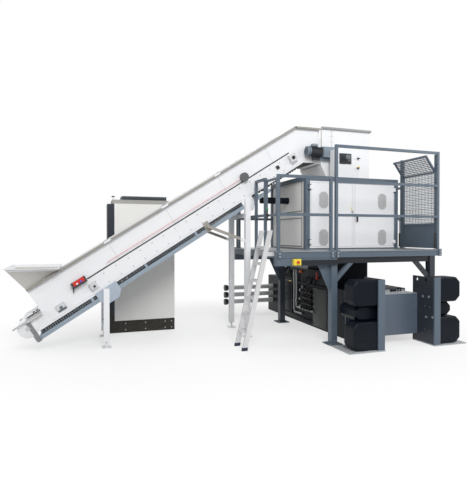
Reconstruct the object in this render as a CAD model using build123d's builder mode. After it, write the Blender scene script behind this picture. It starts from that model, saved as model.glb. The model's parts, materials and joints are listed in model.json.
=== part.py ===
"""Shredder and baler line: feed conveyor, shredder on a work platform, baler below, control cabinet.

Millimetres. The origin is on the floor at the centre of the platform's four legs.
+X runs along the conveyor towards its head, +Y to the back, +Z up.
"""
import os
from math import cos, pi, radians, sin, sqrt

from build123d import *

os.makedirs("parts", exist_ok=True)

# Clearances shared by all pieces
running_gap = 0.05
slide_gap = 3.0
free_gap = 6.0
overrun = 20.0
sheet = 5.0

# Platform legs and deck
leg_span = 1800.0
leg_side = 100.0
leg_wall = 6.0
base_side = 220.0
base_thick = 15.0
anchor_offset = 80.0
anchor_r = 9.0
deck_top = 1390.0
deck_thick = 8.0
beam_depth = 92.0
beam_width = 60.0
deck_left = -1835.0
deck_right = 1085.0
deck_front = -950.0
deck_back = 1150.0
cantilever_depth = 110.0
sub_beam_depth = 90.0
sub_beam_width = 60.0
duct_height = 66.0
duct_depth = 40.0
duct_left = -1460.0
duct_right = -851.0
duct_drop = 32.0
gusset_reach = 200.0
gusset_drop = 420.0
gusset_thick = 12.0
brace_reach = 200.0
brace_width = 60.0

# Guard rails, gate and ladder
rail_side = 40.0
rail_height = 1100.0
knee_height = 550.0
tall_height = 1580.0
middle_height = 1050.0
rail_foot_side = 90.0
rail_foot_thick = 10.0
front_split = -890.0
split_gap = 50.0
ladder_gap_width = 430.0
conveyor_room = 60.0
back_post_count = 4
gate_width = 800.0
gate_side_gap = 12.0
gate_bar = 30.0
gate_pivot_height = 1510.0
gate_pivot_r = 10.0
gate_mesh_drop = 250.0
gate_strip_length = 330.0
gate_strip_angle = 38.0
gate_mesh_thick = 5.0
gate_mesh_wire = 10.0
gate_mesh_columns = 10
gate_mesh_rows = 10
kick_plate_height = 400.0
kick_plate_thick = 6.0
kick_plate_lift = 15.0
strut_r = 14.0
strut_rod_r = 6.0
strut_length = 480.0
strut_rod_share = 0.5
swing_bar = 30.0
swing_pin_r = 8.0
swing_pin_length = 24.0
swing_end_gap = 0.5
swing_lug_thick = 12.0
swing_free_gap = 10.0
ladder_width = 282.0
ladder_side_gap = 8.0
ladder_foot_run = 392.0
ladder_over_deck = 300.0
ladder_stile_depth = 70.0
ladder_stile_width = 28.0
ladder_step_depth = 80.0
ladder_step_thick = 28.0
ladder_step_count = 6
ladder_shoe_height = 45.0
ladder_shoe_wall = 5.0
ladder_hook_depth = 60.0

# Shredder cabinet on the deck
shred_left = -1060.0
shred_right = 710.0
shred_front = -350.0
shred_back = 1050.0
shred_height = 1180.0
post_side = 75.0
panel_thick = 4.0
panel_inset = 20.0
door_thick = 30.0
door_gap = 3.0
door_sill = 20.0
hinge_pin_r = 6.0
hinge_eye_r = 14.0
hinge_length = 60.0
hinge_end_gap = 0.5
hinge_lug_thick = 12.0
hinge_inset = 70.0
vent_width = 176.0
vent_height = 276.0
vent_depth = 4.0
vent_slots = 7
vent_slot_width = 8.0
vent_side_inset = 158.0
vent_low_inset = 30.0
vent_high_inset = 166.0
vent_flat_share = 0.45
vent_shoulder_share = 0.6
latch_plate = 60.0
latch_lever = 110.0
latch_width = 24.0
latch_thick = 14.0
latch_shaft_r = 9.0
latch_stand = 12.0

# Cutting unit inside the shredder
cut_height = 700.0
cut_wall = 25.0
shaft_gap = 220.0
shaft_r = 45.0
journal_r = 30.0
disc_r = 150.0
disc_thick = 38.0
disc_side_gap = 3.0
disc_teeth = 8
disc_notch = 26.0
gear_teeth = 24
gear_face = 40.0
gear_backlash_share = 0.12
gear_wall_gap = 15.0
drive_width = 380.0
drive_height = 420.0
drive_end_gap = 30.0
drive_motor_r = 55.0
drive_motor_length = 520.0
drive_motor_rise = 125.0
drive_bore = 60.0
deck_lip = 20.0

# Discharge hood over the shredder
hood_left = -606.0
throat_left = -475.0
throat_lip_z = 2800.0
hood_right = 351.0
hood_side_room = 30.0
hood_top = 3450.0
hood_rim = 25.0

# Operator panel on the shredder's front beam
panel_left = -500.0
panel_width = 433.0
panel_height = 463.0
panel_depth = 200.0
panel_wall = 3.0
screen_width = 210.0
screen_height = 156.0
screen_thick = 8.0
screen_left_share = 0.134
screen_low_share = 0.49
button_r = 20.0
button_stem_r = 9.0
button_head = 22.0
button_travel = 6.0
switch_r = 15.0
switch_depth = 18.0
switch_grip = 8.0
panel_key_side_share = 0.93
panel_key_low_share = 0.69
panel_stop_low_share = 0.36
stop_box_x = -1532.0
stop_box_width = 110.0
stop_box_height = 88.0
stop_box_depth = 60.0
stem_depth = 30.0
face_gap = 0.5

# Feed conveyor: slope coordinates run up the incline from the side's low corner
slope = 32.0
conv_foot_x = -5030.0
conv_foot_z = 269.0
conv_width = 700.0
side_height = 577.0
slot_height = 262.0
slot_gap = 14.0
rim_start = 200.0
rim_bend = 5015.0
rim_flange = 40.0
side_sheet = 5.0
drum_centre = 118.0
belt_thick = 8.0
drum_gap = 0.3
tail_u = -60.0
head_x = -700.0
head_end = 75.0
drum_side_gap = 20.0
drum_shaft_r = 25.0
belt_side_gap = 12.0
wall_height = 40.0
wall_pitch = 50.0
wall_width = 40.0
wall_end_gap = 160.0
bed_thick = 4.0
bed_gap = 2.0
bed_rib_pitch = 900.0
bend_steps = 4
bed_rib_width = 40.0
guard_depth = 60.0
guard_drop = 58.0
guard_start = -70.0
guard_end = 4080.0
take_up_r = 12.0
take_up_length = 430.0
take_up_tube_r = 30.0
hopper_rim_z = 1165.0
hopper_rim_left = -5420.0
hopper_flare = 150.0
hopper_throat = 690.0
hopper_lip = 20.0
motor_r = 76.0
motor_left = -914.0
motor_rise = 58.0
motor_box = 90.0
gearbox_left = -618.0
gearbox_right = -416.0
gearbox_depth = 108.0
gearbox_low = 30.0
gearbox_high = 140.0
torque_plate = 34.0
torque_plate_half = 80.0
shaft_boss_r = 55.0
low_leg_u = 1092.0
high_leg_u = 3645.0
conv_leg_side = 80.0
conv_foot_side = 130.0
conv_foot_thick = 10.0
jack_r = 14.0
jack_height = 90.0
tie_height = 60.0
tie_low = 220.0
saddle_width = 340.0
saddle_drop = 210.0
saddle_rise = 20.0
saddle_chamfer = 85.0
saddle_thick = 8.0
high_saddle_width = 200.0
high_tie_drop = 190.0
brace_top_u = 2861.0
brace_leg_drop = 640.0
brace_bar = 45.0
cord_v = 317.0
cord_low_u = 1304.0
cord_high_u = 3676.0
cord_r = 3.0
cord_stand = 30.0
cord_eye_pitch = 600.0
cord_eye_side = 12.0
pull_switch_u = 3790.0
pull_switch_r = 70.0
pull_switch_depth = 60.0
control_u = 832.0
control_v = 287.0
control_length = 215.0
control_height = 85.0
control_depth = 70.0
control_button_r = 14.0
control_button_gap = 62.0
control_button_head = 10.0
control_button_travel = 4.0
small_box_u = 970.0
small_box_v = 135.0
small_box_side = 100.0
small_box_depth = 45.0
connector_u = 444.0
connector_length = 120.0
connector_height = 70.0
connector_depth = 25.0
isolator_u = 4700.0
isolator_v = 165.0
isolator_side = 125.0
isolator_depth = 60.0
knob_r = 28.0
knob_depth = 24.0
knob_grip = 12.0
knob_stem_r = 7.0

# Baler under the platform
press_half_width = 560.0
press_front = -700.0
press_back = 1500.0
press_low = 60.0
press_high = 760.0
press_wall = 40.0
skid_width = 120.0
bale_half_width = 430.0
bale_front = -1150.0
bale_low = 120.0
bale_high = 738.0
bale_wall = 20.0
eye_r = 34.0
eye_hole_r = 18.0
eye_thick = 16.0
eye_x = 280.0
lug_length = 90.0
ram_front = 720.0
ram_length = 400.0
rod_r = 50.0
cylinder_r = 95.0
cylinder_length = 1000.0
cylinder_flange = 40.0
cylinder_flange_r = 150.0
column_height = 1000.0
column_front = -1508.0
column_lap = 100.0
column_plate = 20.0
column_flange = 90.0
column_base = 15.0
column_base_reach = 560.0
column_hole_r = 25.0
column_bolt_r = 12.0
column_bolt_high = 10.0
cover_reach = 470.0
cover_mid_reach = 380.0
cover_depth = 250.0
cover_top_low = 635.0
cover_top_high = 1000.0
cover_mid_low = 418.0
cover_mid_high = 632.0
cover_low_low = 20.0
cover_low_high = 415.0
cover_round = 60.0
cover_mid_setback = 90.0
cover_mid_tail = 190.0
pack_left = -560.0
pack_width = 360.0
pack_front = 1620.0
pack_depth = 700.0
pack_height = 760.0
pack_motor_r = 110.0
pack_motor_height = 300.0
pipe_r = 17.0
pipe_gap = 100.0
pipe_clamp = 45.0
pipe_bend_share = 3.0
pipe_low = 270.0
pipe_high = 960.0
pipe_y = 900.0
pipe_run = 660.0
pipe_stand = 30.0
spool_r = 45.0
spool_length = 1020.0
spool_low = 240.0
spool_step = 145.0
spool_y = 2100.0
spool_end_r = 62.0
spool_end_length = 60.0
top_unit_high = 1010.0
top_unit_right = 300.0
wall_panel_thick = 12.0
wall_panel_front = -240.0
wall_panel_back = 290.0
wall_panel_low = 80.0
wall_panel_high = 700.0

# Control cabinet behind the conveyor
cab_left = -3926.0
cab_width = 1000.0
cab_front = 890.0
cab_depth = 500.0
cab_height = 1942.0
cab_roof_height = 68.0
cab_roof_lap = 30.0
cab_plinth = 200.0
cab_plinth_inset = 20.0
cab_wall = 3.0
cab_door_thick = 22.0
cab_door_gap = 6.0
cab_pin_r = 5.0
cab_pin_length = 20.0
cab_bracket = 40.0
cab_bracket_thick = 8.0
cab_edge = 110.0
cab_edge_depth = 300.0
cab_edge_drop = 6.0
cooler_width = 746.0
cooler_height = 65.0
cooler_depth = 380.0
cab_handle_length = 140.0
cab_handle_width = 26.0
cab_handle_depth = 22.0

# Heights and places that follow from the sizes above
half_span = leg_span / 2
leg_half = leg_side / 2
beam_top = deck_top - deck_thick
leg_top = beam_top - beam_depth
conv_mid = conv_width / 2
hood_near = -hood_side_room
hood_far = conv_width + hood_side_room
motor_back = hood_near - free_gap
shred_top = deck_top + shred_height
cut_z = deck_top + cut_height
slope_cos = cos(radians(slope))
slope_sin = sin(radians(slope))
rim_x = conv_foot_x + rim_bend * slope_cos - side_height * slope_sin
rim_z = conv_foot_z + rim_bend * slope_sin + side_height * slope_cos
head_low = rim_z - side_height
head_z = head_low + drum_centre
bend_u = (head_z - conv_foot_z - drum_centre * slope_cos) / slope_sin


def block(low, high, mode=Mode.ADD):
    """A box between two corners."""
    centre = tuple((a + b) / 2 for a, b in zip(low, high))
    size = tuple(b - a for a, b in zip(low, high))
    with Locations(centre):
        Box(*size, mode=mode)


def bar(start, end, side, mode=Mode.ADD):
    """A square bar along one axis, with its ends half a side past both points."""
    low = tuple(min(a, b) - side / 2 for a, b in zip(start, end))
    high = tuple(max(a, b) + side / 2 for a, b in zip(start, end))
    block(low, high, mode)


def rod(start, direction, radius, length, mode=Mode.ADD):
    """A round rod that starts at a point and runs along a direction."""
    with Locations(Plane(origin=start, z_dir=direction)):
        Cylinder(radius, length, align=(Align.CENTER, Align.CENTER, Align.MIN), mode=mode)


def outline(plane, points, depth, mode=Mode.ADD):
    """A straight-edged outline on a plane, extruded along the plane's normal."""
    with BuildSketch(plane) as shape:
        with BuildLine():
            Polyline(*points, close=True)
        make_face()
    extrude(shape.sketch, amount=depth, mode=mode)


def facing_front(y):
    """The XZ plane at a depth y: its normal points to the front, -Y."""
    return Plane.XZ.offset(-y)


def incline(y):
    """The conveyor's slope plane at a depth y: x runs up the slope, y stands square to it."""
    return Plane(origin=(conv_foot_x, y, conv_foot_z), x_dir=(slope_cos, 0, slope_sin), z_dir=(0, -1, 0))


def on_slope(u, v, y):
    """A point of the slope plane in the part's own frame."""
    x = conv_foot_x + u * slope_cos - v * slope_sin
    z = conv_foot_z + u * slope_sin + v * slope_cos
    return (x, y, z)


def save(piece, name):
    """Label a finished piece and write it."""
    piece.part.label = name
    export_step(piece.part, f"parts/{name}.step")


# Platform legs: tube, base plate with an anchor hole, cap plate
with BuildPart() as platform_legs:
    for side_x in (-1, 1):
        for side_y in (-1, 1):
            x = side_x * half_span
            y = side_y * half_span
            block(
                (x - base_side / 2, y - base_side / 2, 0),
                (x + base_side / 2, y + base_side / 2, base_thick),
            )
            block((x - leg_half, y - leg_half, base_thick), (x + leg_half, y + leg_half, leg_top))
            inner = leg_half - leg_wall
            block(
                (x - inner, y - inner, base_thick),
                (x + inner, y + inner, leg_top - base_thick),
                Mode.SUBTRACT,
            )
            rod((x + side_x * anchor_offset, y, 0), (0, 0, 1), anchor_r, base_thick, Mode.SUBTRACT)
save(platform_legs, "platform_legs")

# Deck frame: edge beams, and a cross beam over each pair of legs
with BuildPart() as deck_frame:
    for y in (deck_front, half_span - beam_width / 2, deck_back - beam_width):
        block((deck_left, y, leg_top), (deck_right, y + beam_width, beam_top))
    for x in (deck_left, -half_span - beam_width / 2, half_span - beam_width / 2, deck_right - beam_width):
        block((x, deck_front, leg_top), (x + beam_width, deck_back, beam_top))
save(deck_frame, "deck_frame")

# Deck plate with the opening for the drop chute
with BuildPart() as deck_plate:
    block((deck_left, deck_front, beam_top), (deck_right, deck_back, deck_top))
    block(
        (throat_left + deck_lip, hood_near + deck_lip, beam_top - overrun),
        (hood_right - deck_lip, hood_far - deck_lip, deck_top + overrun),
        Mode.SUBTRACT,
    )
save(deck_plate, "deck_plate")

# Knee braces between legs and sub beams, cut flush with both
brace_slant = brace_width * sqrt(2)
sub_low = leg_top - sub_beam_depth
with BuildPart() as knee_braces:
    for side_x in (-1, 1):
        for side_y in (-1, 1):
            face_x = side_x * (half_span - leg_half)
            near_y = side_y * half_span + brace_width / 2
            outline(
                facing_front(near_y),
                [
                    (face_x, sub_low - brace_reach),
                    (face_x, sub_low - brace_reach - brace_slant),
                    (face_x - side_x * (brace_reach + brace_slant), sub_low),
                    (face_x - side_x * brace_reach, sub_low),
                ],
                brace_width,
            )
save(knee_braces, "knee_braces")

# Cantilever beams under the deck's left end with a gusset down each leg,
# sub beams between the legs and the cable duct
leg_left = -half_span - leg_half
leg_inner = half_span - leg_half
with BuildPart() as cantilever_beams:
    for y in (-half_span, half_span):
        low = leg_top - cantilever_depth
        block((deck_left, y - leg_half, low), (leg_left, y + leg_half, leg_top))
        block((-leg_inner, y - sub_beam_width / 2, sub_low), (leg_inner, y + sub_beam_width / 2, leg_top))
        outline(
            facing_front(y + gusset_thick / 2),
            [(leg_left, low), (leg_left - gusset_reach, low), (leg_left, low - gusset_drop)],
            gusset_thick,
        )
    duct_face = -half_span - leg_half
    duct_top = leg_top - duct_drop
    block(
        (duct_left, duct_face - duct_depth, duct_top - duct_height),
        (duct_right, duct_face, duct_top),
    )
save(cantilever_beams, "cantilever_beams")

# Guard rail places
post_inset = rail_foot_side / 2
rail_half = rail_side / 2
front_y = deck_front + post_inset
back_y = deck_back - post_inset
left_x = deck_left + post_inset
right_x = deck_right - post_inset
split_reach = split_gap / 2 + rail_half
ladder_post_y = front_y + rail_side + ladder_gap_width
gate_post_y = front_y + rail_side + gate_width + 2 * gate_side_gap
gate_pivot_z = deck_top + gate_pivot_height


def rail_post(x, y, height):
    """A post with its foot plate on the deck."""
    block(
        (x - post_inset, y - post_inset, deck_top),
        (x + post_inset, y + post_inset, deck_top + rail_foot_thick),
    )
    bar((x, y, deck_top + rail_half), (x, y, deck_top + height - rail_half), rail_side)


def rail_line(start, end, height):
    """A level rail between two posts, with its top at a height over the deck."""
    z = deck_top + height - rail_half
    bar((start[0], start[1], z), (end[0], end[1], z), rail_side)


# Front rail at the deck's left end
with BuildPart() as rail_front_left:
    left_end = (left_x, front_y)
    right_end = (front_split - split_reach, front_y)
    for place in (left_end, right_end):
        rail_post(*place, rail_height)
    for height in (knee_height, rail_height):
        rail_line(left_end, right_end, height)
save(rail_front_left, "rail_front_left")

# Tall front rail, with a bore for the gate's pivot in its right post
with BuildPart() as rail_front_right:
    left_end = (front_split + split_reach, front_y)
    right_end = (right_x, front_y)
    for place in (left_end, right_end):
        rail_post(*place, tall_height)
    for height in (knee_height, middle_height, tall_height):
        rail_line(left_end, right_end, height)
    rod(
        (right_x, front_y - rail_side, gate_pivot_z),
        (0, 1, 0),
        gate_pivot_r + running_gap,
        2 * rail_side,
        Mode.SUBTRACT,
    )
save(rail_front_right, "rail_front_right")

# Left rail: it stays low where the conveyor passes over, and carries the ladder gate's pins
swing_y = ladder_post_y - rail_half - swing_bar
swing_low = deck_top + knee_height - rail_side
swing_high = deck_top + rail_height - rail_side
with BuildPart() as rail_left:
    stops = (ladder_post_y, -conveyor_room, conv_width + conveyor_room, back_y)
    for y in stops:
        rail_post(left_x, y, rail_height)
    rail_line((left_x, stops[0]), (left_x, stops[3]), knee_height)
    rail_line((left_x, stops[0]), (left_x, stops[1]), rail_height)
    rail_line((left_x, stops[2]), (left_x, stops[3]), rail_height)
    for z, towards in ((swing_low, 1), (swing_high, -1)):
        plate_z = z - towards * (swing_end_gap + swing_lug_thick)
        block(
            (left_x - swing_bar / 2, swing_y - swing_bar / 2, min(plate_z, z - towards * swing_end_gap)),
            (left_x + swing_bar / 2, ladder_post_y, max(plate_z, z - towards * swing_end_gap)),
        )
        rod((left_x, swing_y, plate_z), (0, 0, towards), swing_pin_r, swing_lug_thick + swing_pin_length)
save(rail_left, "rail_left")

# Ladder gate: a frame that swings on two pins
swing_end = front_y + rail_half + swing_free_gap + swing_bar / 2
with BuildPart() as ladder_gate:
    for y in (swing_y, swing_end):
        bar((left_x, y, swing_low + swing_bar / 2), (left_x, y, swing_high - swing_bar / 2), swing_bar)
    for z in (swing_low + swing_bar / 2, swing_high - swing_bar / 2):
        bar((left_x, swing_y, z), (left_x, swing_end, z), swing_bar)
    for z, towards in ((swing_low, 1), (swing_high, -1)):
        rod(
            (left_x, swing_y, z),
            (0, 0, towards),
            swing_pin_r + running_gap,
            swing_pin_length,
            Mode.SUBTRACT,
        )
save(ladder_gate, "ladder_gate")

# Rear rails: one along the back, one along the right end behind the gate
with BuildPart() as rails_rear:
    first_x = left_x + rail_foot_side
    last_x = right_x
    step = (last_x - first_x) / (back_post_count - 1)
    for index in range(back_post_count):
        rail_post(first_x + index * step, back_y, rail_height)
    for height in (knee_height, rail_height):
        rail_line((first_x, back_y), (last_x, back_y), height)
    # The right rail's tall front post carries the gate's other pivot
    far_y = back_y - rail_foot_side
    rail_post(right_x, gate_post_y, tall_height)
    rail_post(right_x, far_y, rail_height)
    for height in (knee_height, rail_height):
        rail_line((right_x, gate_post_y), (right_x, far_y), height)
    rod(
        (right_x, gate_post_y - rail_side, gate_pivot_z),
        (0, 1, 0),
        gate_pivot_r + running_gap,
        2 * rail_side,
        Mode.SUBTRACT,
    )
save(rails_rear, "rails_rear")

# Mesh gate: hung from its pivots, with a mesh strip that leans in over the deck
gate_near = front_y + rail_half + gate_side_gap
gate_far = gate_near + gate_width
gate_low = deck_top + kick_plate_lift
mesh_high = gate_pivot_z - gate_mesh_drop
mesh_low = gate_low + kick_plate_height
gate_half = gate_bar / 2


def mesh_sheet(plane, width, height):
    """A sheet of square mesh on a plane, with a solid edge all round."""
    pitch_x = width / gate_mesh_columns
    pitch_y = height / gate_mesh_rows
    with BuildSketch(plane) as grid:
        Rectangle(width, height)
        with GridLocations(pitch_x, pitch_y, gate_mesh_columns, gate_mesh_rows):
            Rectangle(pitch_x - gate_mesh_wire, pitch_y - gate_mesh_wire, mode=Mode.SUBTRACT)
    extrude(grid.sketch, amount=gate_mesh_thick / 2, both=True)


gate_mid = (gate_near + gate_far) / 2
strip_run = gate_strip_length * sin(radians(gate_strip_angle))
strip_rise = gate_strip_length * cos(radians(gate_strip_angle))
strip_width = gate_width - 2 * gate_bar
with BuildPart() as mesh_gate:
    for y in (gate_near + gate_half, gate_far - gate_half):
        bar((right_x, y, gate_low + gate_half), (right_x, y, gate_pivot_z + gate_half), gate_bar)
        outline(
            facing_front(y + gate_half),
            [
                (right_x - gate_half, mesh_high - gate_half),
                (right_x + gate_half, mesh_high - gate_half),
                (right_x + gate_half - strip_run, mesh_high + strip_rise),
                (right_x - gate_half - strip_run, mesh_high + strip_rise),
            ],
            gate_bar,
        )
    for z in (gate_low + gate_half, mesh_low, mesh_high):
        bar((right_x, gate_near + gate_half, z), (right_x, gate_far - gate_half, z), gate_bar)
    strip_end = (right_x - strip_run, mesh_high + strip_rise - gate_half)
    bar(
        (strip_end[0], gate_near + gate_half, strip_end[1]),
        (strip_end[0], gate_far - gate_half, strip_end[1]),
        gate_bar,
    )
    mesh_sheet(
        Plane(origin=(right_x, gate_mid, (mesh_low + mesh_high) / 2), x_dir=(0, 1, 0), z_dir=(1, 0, 0)),
        strip_width,
        mesh_high - mesh_low,
    )
    mesh_sheet(
        Plane(
            origin=(right_x - strip_run / 2, gate_mid, mesh_high + strip_rise / 2),
            x_dir=(0, 1, 0),
            z_dir=(strip_rise, 0, strip_run),
        ),
        strip_width,
        gate_strip_length,
    )
    block(
        (right_x - kick_plate_thick / 2, gate_near + gate_half, gate_low + gate_half),
        (right_x + kick_plate_thick / 2, gate_far - gate_half, mesh_low),
    )
    pin_length = gate_side_gap + rail_side
    rod((right_x, gate_near, gate_pivot_z), (0, -1, 0), gate_pivot_r, pin_length)
    rod((right_x, gate_far, gate_pivot_z), (0, 1, 0), gate_pivot_r, pin_length)
save(mesh_gate, "mesh_gate")

# Balance struts beside the gate posts, each on two lugs
strut_x = right_x - rail_half - 2 * strut_r
strut_low = deck_top + rail_foot_thick + strut_r
with BuildPart() as gate_struts:
    for y in (front_y, gate_post_y):
        rod((strut_x, y, strut_low), (0, 0, 1), strut_r, strut_length * strut_rod_share)
        rod((strut_x, y, strut_low), (0, 0, 1), strut_rod_r, strut_length)
        for z in (strut_low, strut_low + strut_length - strut_r):
            block(
                (strut_x - strut_r, y - strut_r, z),
                (right_x - rail_half, y + strut_r, z + strut_r),
            )
save(gate_struts, "gate_struts")

# Step ladder hooked on the deck's left end
ladder_top_z = deck_top + ladder_over_deck
ladder_top_x = deck_left - ladder_hook_depth
ladder_foot_x = ladder_top_x - ladder_foot_run
ladder_mid = front_y + rail_half + ladder_side_gap + ladder_stile_width + ladder_width / 2
stile_half = ladder_stile_depth / 2


def ladder_x(z):
    """The stile's centre line at a height."""
    return ladder_foot_x + ladder_foot_run * z / ladder_top_z


def stile_outline(low, high, margin):
    """A stile's slanted outline between two heights, widened by a margin."""
    reach = stile_half + margin
    return [
        (ladder_x(low) - reach, low),
        (ladder_x(low) + reach, low),
        (ladder_x(high) + reach, high),
        (ladder_x(high) - reach, high),
    ]


stile_backs = (ladder_mid - ladder_width / 2, ladder_mid + ladder_width / 2 + ladder_stile_width)
with BuildPart() as ladder_stiles:
    for y in stile_backs:
        outline(facing_front(y), stile_outline(ladder_shoe_wall, ladder_top_z, 0), ladder_stile_width)
        hook_low = beam_top - ladder_hook_depth
        block((ladder_x(hook_low), y - ladder_stile_width, hook_low), (deck_left, y, beam_top))
save(ladder_stiles, "ladder_stiles")

with BuildPart() as ladder_steps:
    for index in range(ladder_step_count):
        z = ladder_top_z * (index + 1) / (ladder_step_count + 1)
        block(
            (ladder_x(z) - ladder_step_depth / 2, ladder_mid - ladder_width / 2, z - ladder_step_thick / 2),
            (ladder_x(z) + ladder_step_depth / 2, ladder_mid + ladder_width / 2, z + ladder_step_thick / 2),
        )
save(ladder_steps, "ladder_steps")

with BuildPart() as ladder_shoes:
    for y in stile_backs:
        outline(
            facing_front(y + ladder_shoe_wall),
            stile_outline(0, ladder_shoe_height, ladder_shoe_wall),
            ladder_stile_width + 2 * ladder_shoe_wall,
        )
        outline(
            facing_front(y),
            stile_outline(ladder_shoe_wall, ladder_shoe_height, 0),
            ladder_stile_width,
            Mode.SUBTRACT,
        )
save(ladder_shoes, "ladder_shoes")

# Shredder frame places
post_left = shred_left + post_side
post_right = shred_right - post_side
door_low = deck_top + door_sill + door_gap
door_high = shred_top - post_side - door_gap
door_mid = (post_left + post_right) / 2
hinge_y = shred_front - hinge_eye_r - hinge_end_gap * 4
hinge_levels = (door_low + hinge_inset, door_high - hinge_inset - hinge_length)
hinge_xs = {-1: post_left + door_gap, 1: post_right - door_gap}

# Welded tube frame with the door hinges' lugs and pins
with BuildPart() as shredder_frame:
    for x in (shred_left, post_right):
        for y in (shred_front, shred_back - post_side):
            block((x, y, deck_top), (x + post_side, y + post_side, shred_top))
        block((x, shred_front, shred_top - post_side), (x + post_side, shred_back, shred_top))
        block((x, shred_front, deck_top), (x + post_side, shred_back, deck_top + door_sill))
    for y in (shred_front, shred_back - post_side):
        block((shred_left, y, shred_top - post_side), (shred_right, y + post_side, shred_top))
        block((shred_left, y, deck_top), (shred_right, y + post_side, deck_top + door_sill))
    for side in (-1, 1):
        x = hinge_xs[side]
        for z in hinge_levels:
            lug_low = z - hinge_end_gap - hinge_lug_thick
            lug_high = z + hinge_length + hinge_end_gap
            rod((x, hinge_y, lug_low), (0, 0, 1), hinge_pin_r, lug_high + hinge_lug_thick - lug_low)
            for lug_z in (lug_low, lug_high):
                rod((x, hinge_y, lug_z), (0, 0, 1), hinge_eye_r, hinge_lug_thick)
                block(
                    (min(x, x + side * post_side / 2), hinge_y - hinge_eye_r, lug_z),
                    (max(x, x + side * post_side / 2), shred_front, lug_z + hinge_lug_thick),
                )
save(shredder_frame, "shredder_frame")

# Sheet panels: left with the motor's hole, right, back, and a roof around the cutting unit
panel_low = deck_top + door_sill
panel_high = shred_top - post_side
motor_z = cut_z + drive_motor_rise
with BuildPart() as shredder_panels:
    for x in (shred_left + panel_inset, shred_right - panel_inset - panel_thick):
        block(
            (x, shred_front + post_side, panel_low),
            (x + panel_thick, shred_back - post_side, panel_high),
        )
    rod(
        (shred_left, conv_mid, motor_z),
        (1, 0, 0),
        drive_motor_r + free_gap,
        post_side,
        Mode.SUBTRACT,
    )
    block(
        (post_left, shred_back - panel_inset - panel_thick, panel_low),
        (post_right, shred_back - panel_inset, panel_high),
    )
    block(
        (post_left, shred_front + post_side, shred_top - panel_thick),
        (post_right, shred_back - post_side, shred_top),
    )
    block(
        (throat_left - free_gap, hood_near - free_gap, shred_top - overrun),
        (hood_right + free_gap, hood_far + free_gap, shred_top + overrun),
        Mode.SUBTRACT,
    )
save(shredder_panels, "shredder_panels")


def door_outline(side):
    """Left and right limits of one door leaf."""
    outer = hinge_xs[side]
    inner = door_mid + side * door_gap / 2
    return min(outer, inner), max(outer, inner)


latch_x = door_mid + latch_plate
latch_z = (door_low + door_high) / 2


def door_leaf(side):
    """One folded door leaf with two vents and its hinge eyes."""
    low_x, high_x = door_outline(side)
    back = shred_front + door_thick
    block((low_x, shred_front, door_low), (high_x, back, door_high))
    block(
        (low_x + sheet, shred_front + sheet, door_low + sheet),
        (high_x - sheet, back + overrun, door_high - sheet),
        Mode.SUBTRACT,
    )
    vent_x = hinge_xs[side] - side * (vent_side_inset + vent_width / 2)
    half = vent_width / 2
    tall = vent_height / 2
    flat_end = half * vent_flat_share
    shoulder = tall - half * vent_shoulder_share
    for vent_z in (door_low + vent_low_inset + tall, door_high - vent_high_inset - tall):
        outline(
            facing_front(shred_front + vent_depth),
            [
                (vent_x - half, vent_z - shoulder),
                (vent_x - flat_end, vent_z - tall),
                (vent_x + flat_end, vent_z - tall),
                (vent_x + half, vent_z - shoulder),
                (vent_x + half, vent_z + shoulder),
                (vent_x + flat_end, vent_z + tall),
                (vent_x - flat_end, vent_z + tall),
                (vent_x - half, vent_z + shoulder),
            ],
            vent_depth,
            Mode.SUBTRACT,
        )
        pitch = (vent_height - vent_width) / vent_slots
        for index in range(vent_slots):
            slot_z = vent_z + (index - (vent_slots - 1) / 2) * pitch
            block(
                (vent_x - half + vent_slot_width, shred_front, slot_z - vent_slot_width / 2),
                (vent_x + half - vent_slot_width, shred_front + 2 * sheet, slot_z + vent_slot_width / 2),
                Mode.SUBTRACT,
            )
    x = hinge_xs[side]
    for z in hinge_levels:
        rod((x, hinge_y, z), (0, 0, 1), hinge_eye_r, hinge_length)
        block(
            (min(x, x - side * post_side / 2), hinge_y, z),
            (max(x, x - side * post_side / 2), shred_front, z + hinge_length),
        )
        rod((x, hinge_y, z), (0, 0, 1), hinge_pin_r + running_gap, hinge_length, Mode.SUBTRACT)


with BuildPart() as door_left:
    door_leaf(-1)
save(door_left, "door_left")

with BuildPart() as door_right:
    door_leaf(1)
    half = latch_plate / 2
    block(
        (latch_x - half, shred_front - sheet, latch_z - half),
        (latch_x + half, shred_front, latch_z + half),
    )
    rod(
        (latch_x, shred_front - sheet, latch_z),
        (0, 1, 0),
        latch_shaft_r + running_gap,
        2 * sheet,
        Mode.SUBTRACT,
    )
save(door_right, "door_right")

# Door latch: a lever on a short shaft
with BuildPart() as door_latch:
    lever_back = shred_front - sheet - latch_stand
    block(
        (latch_x - latch_width / 2, lever_back - latch_thick, latch_z - latch_lever),
        (latch_x + latch_width / 2, lever_back, latch_z + latch_width / 2),
    )
    rod((latch_x, lever_back, latch_z), (0, 1, 0), latch_shaft_r, latch_stand + 2 * sheet)
save(door_latch, "door_latch")

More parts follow.
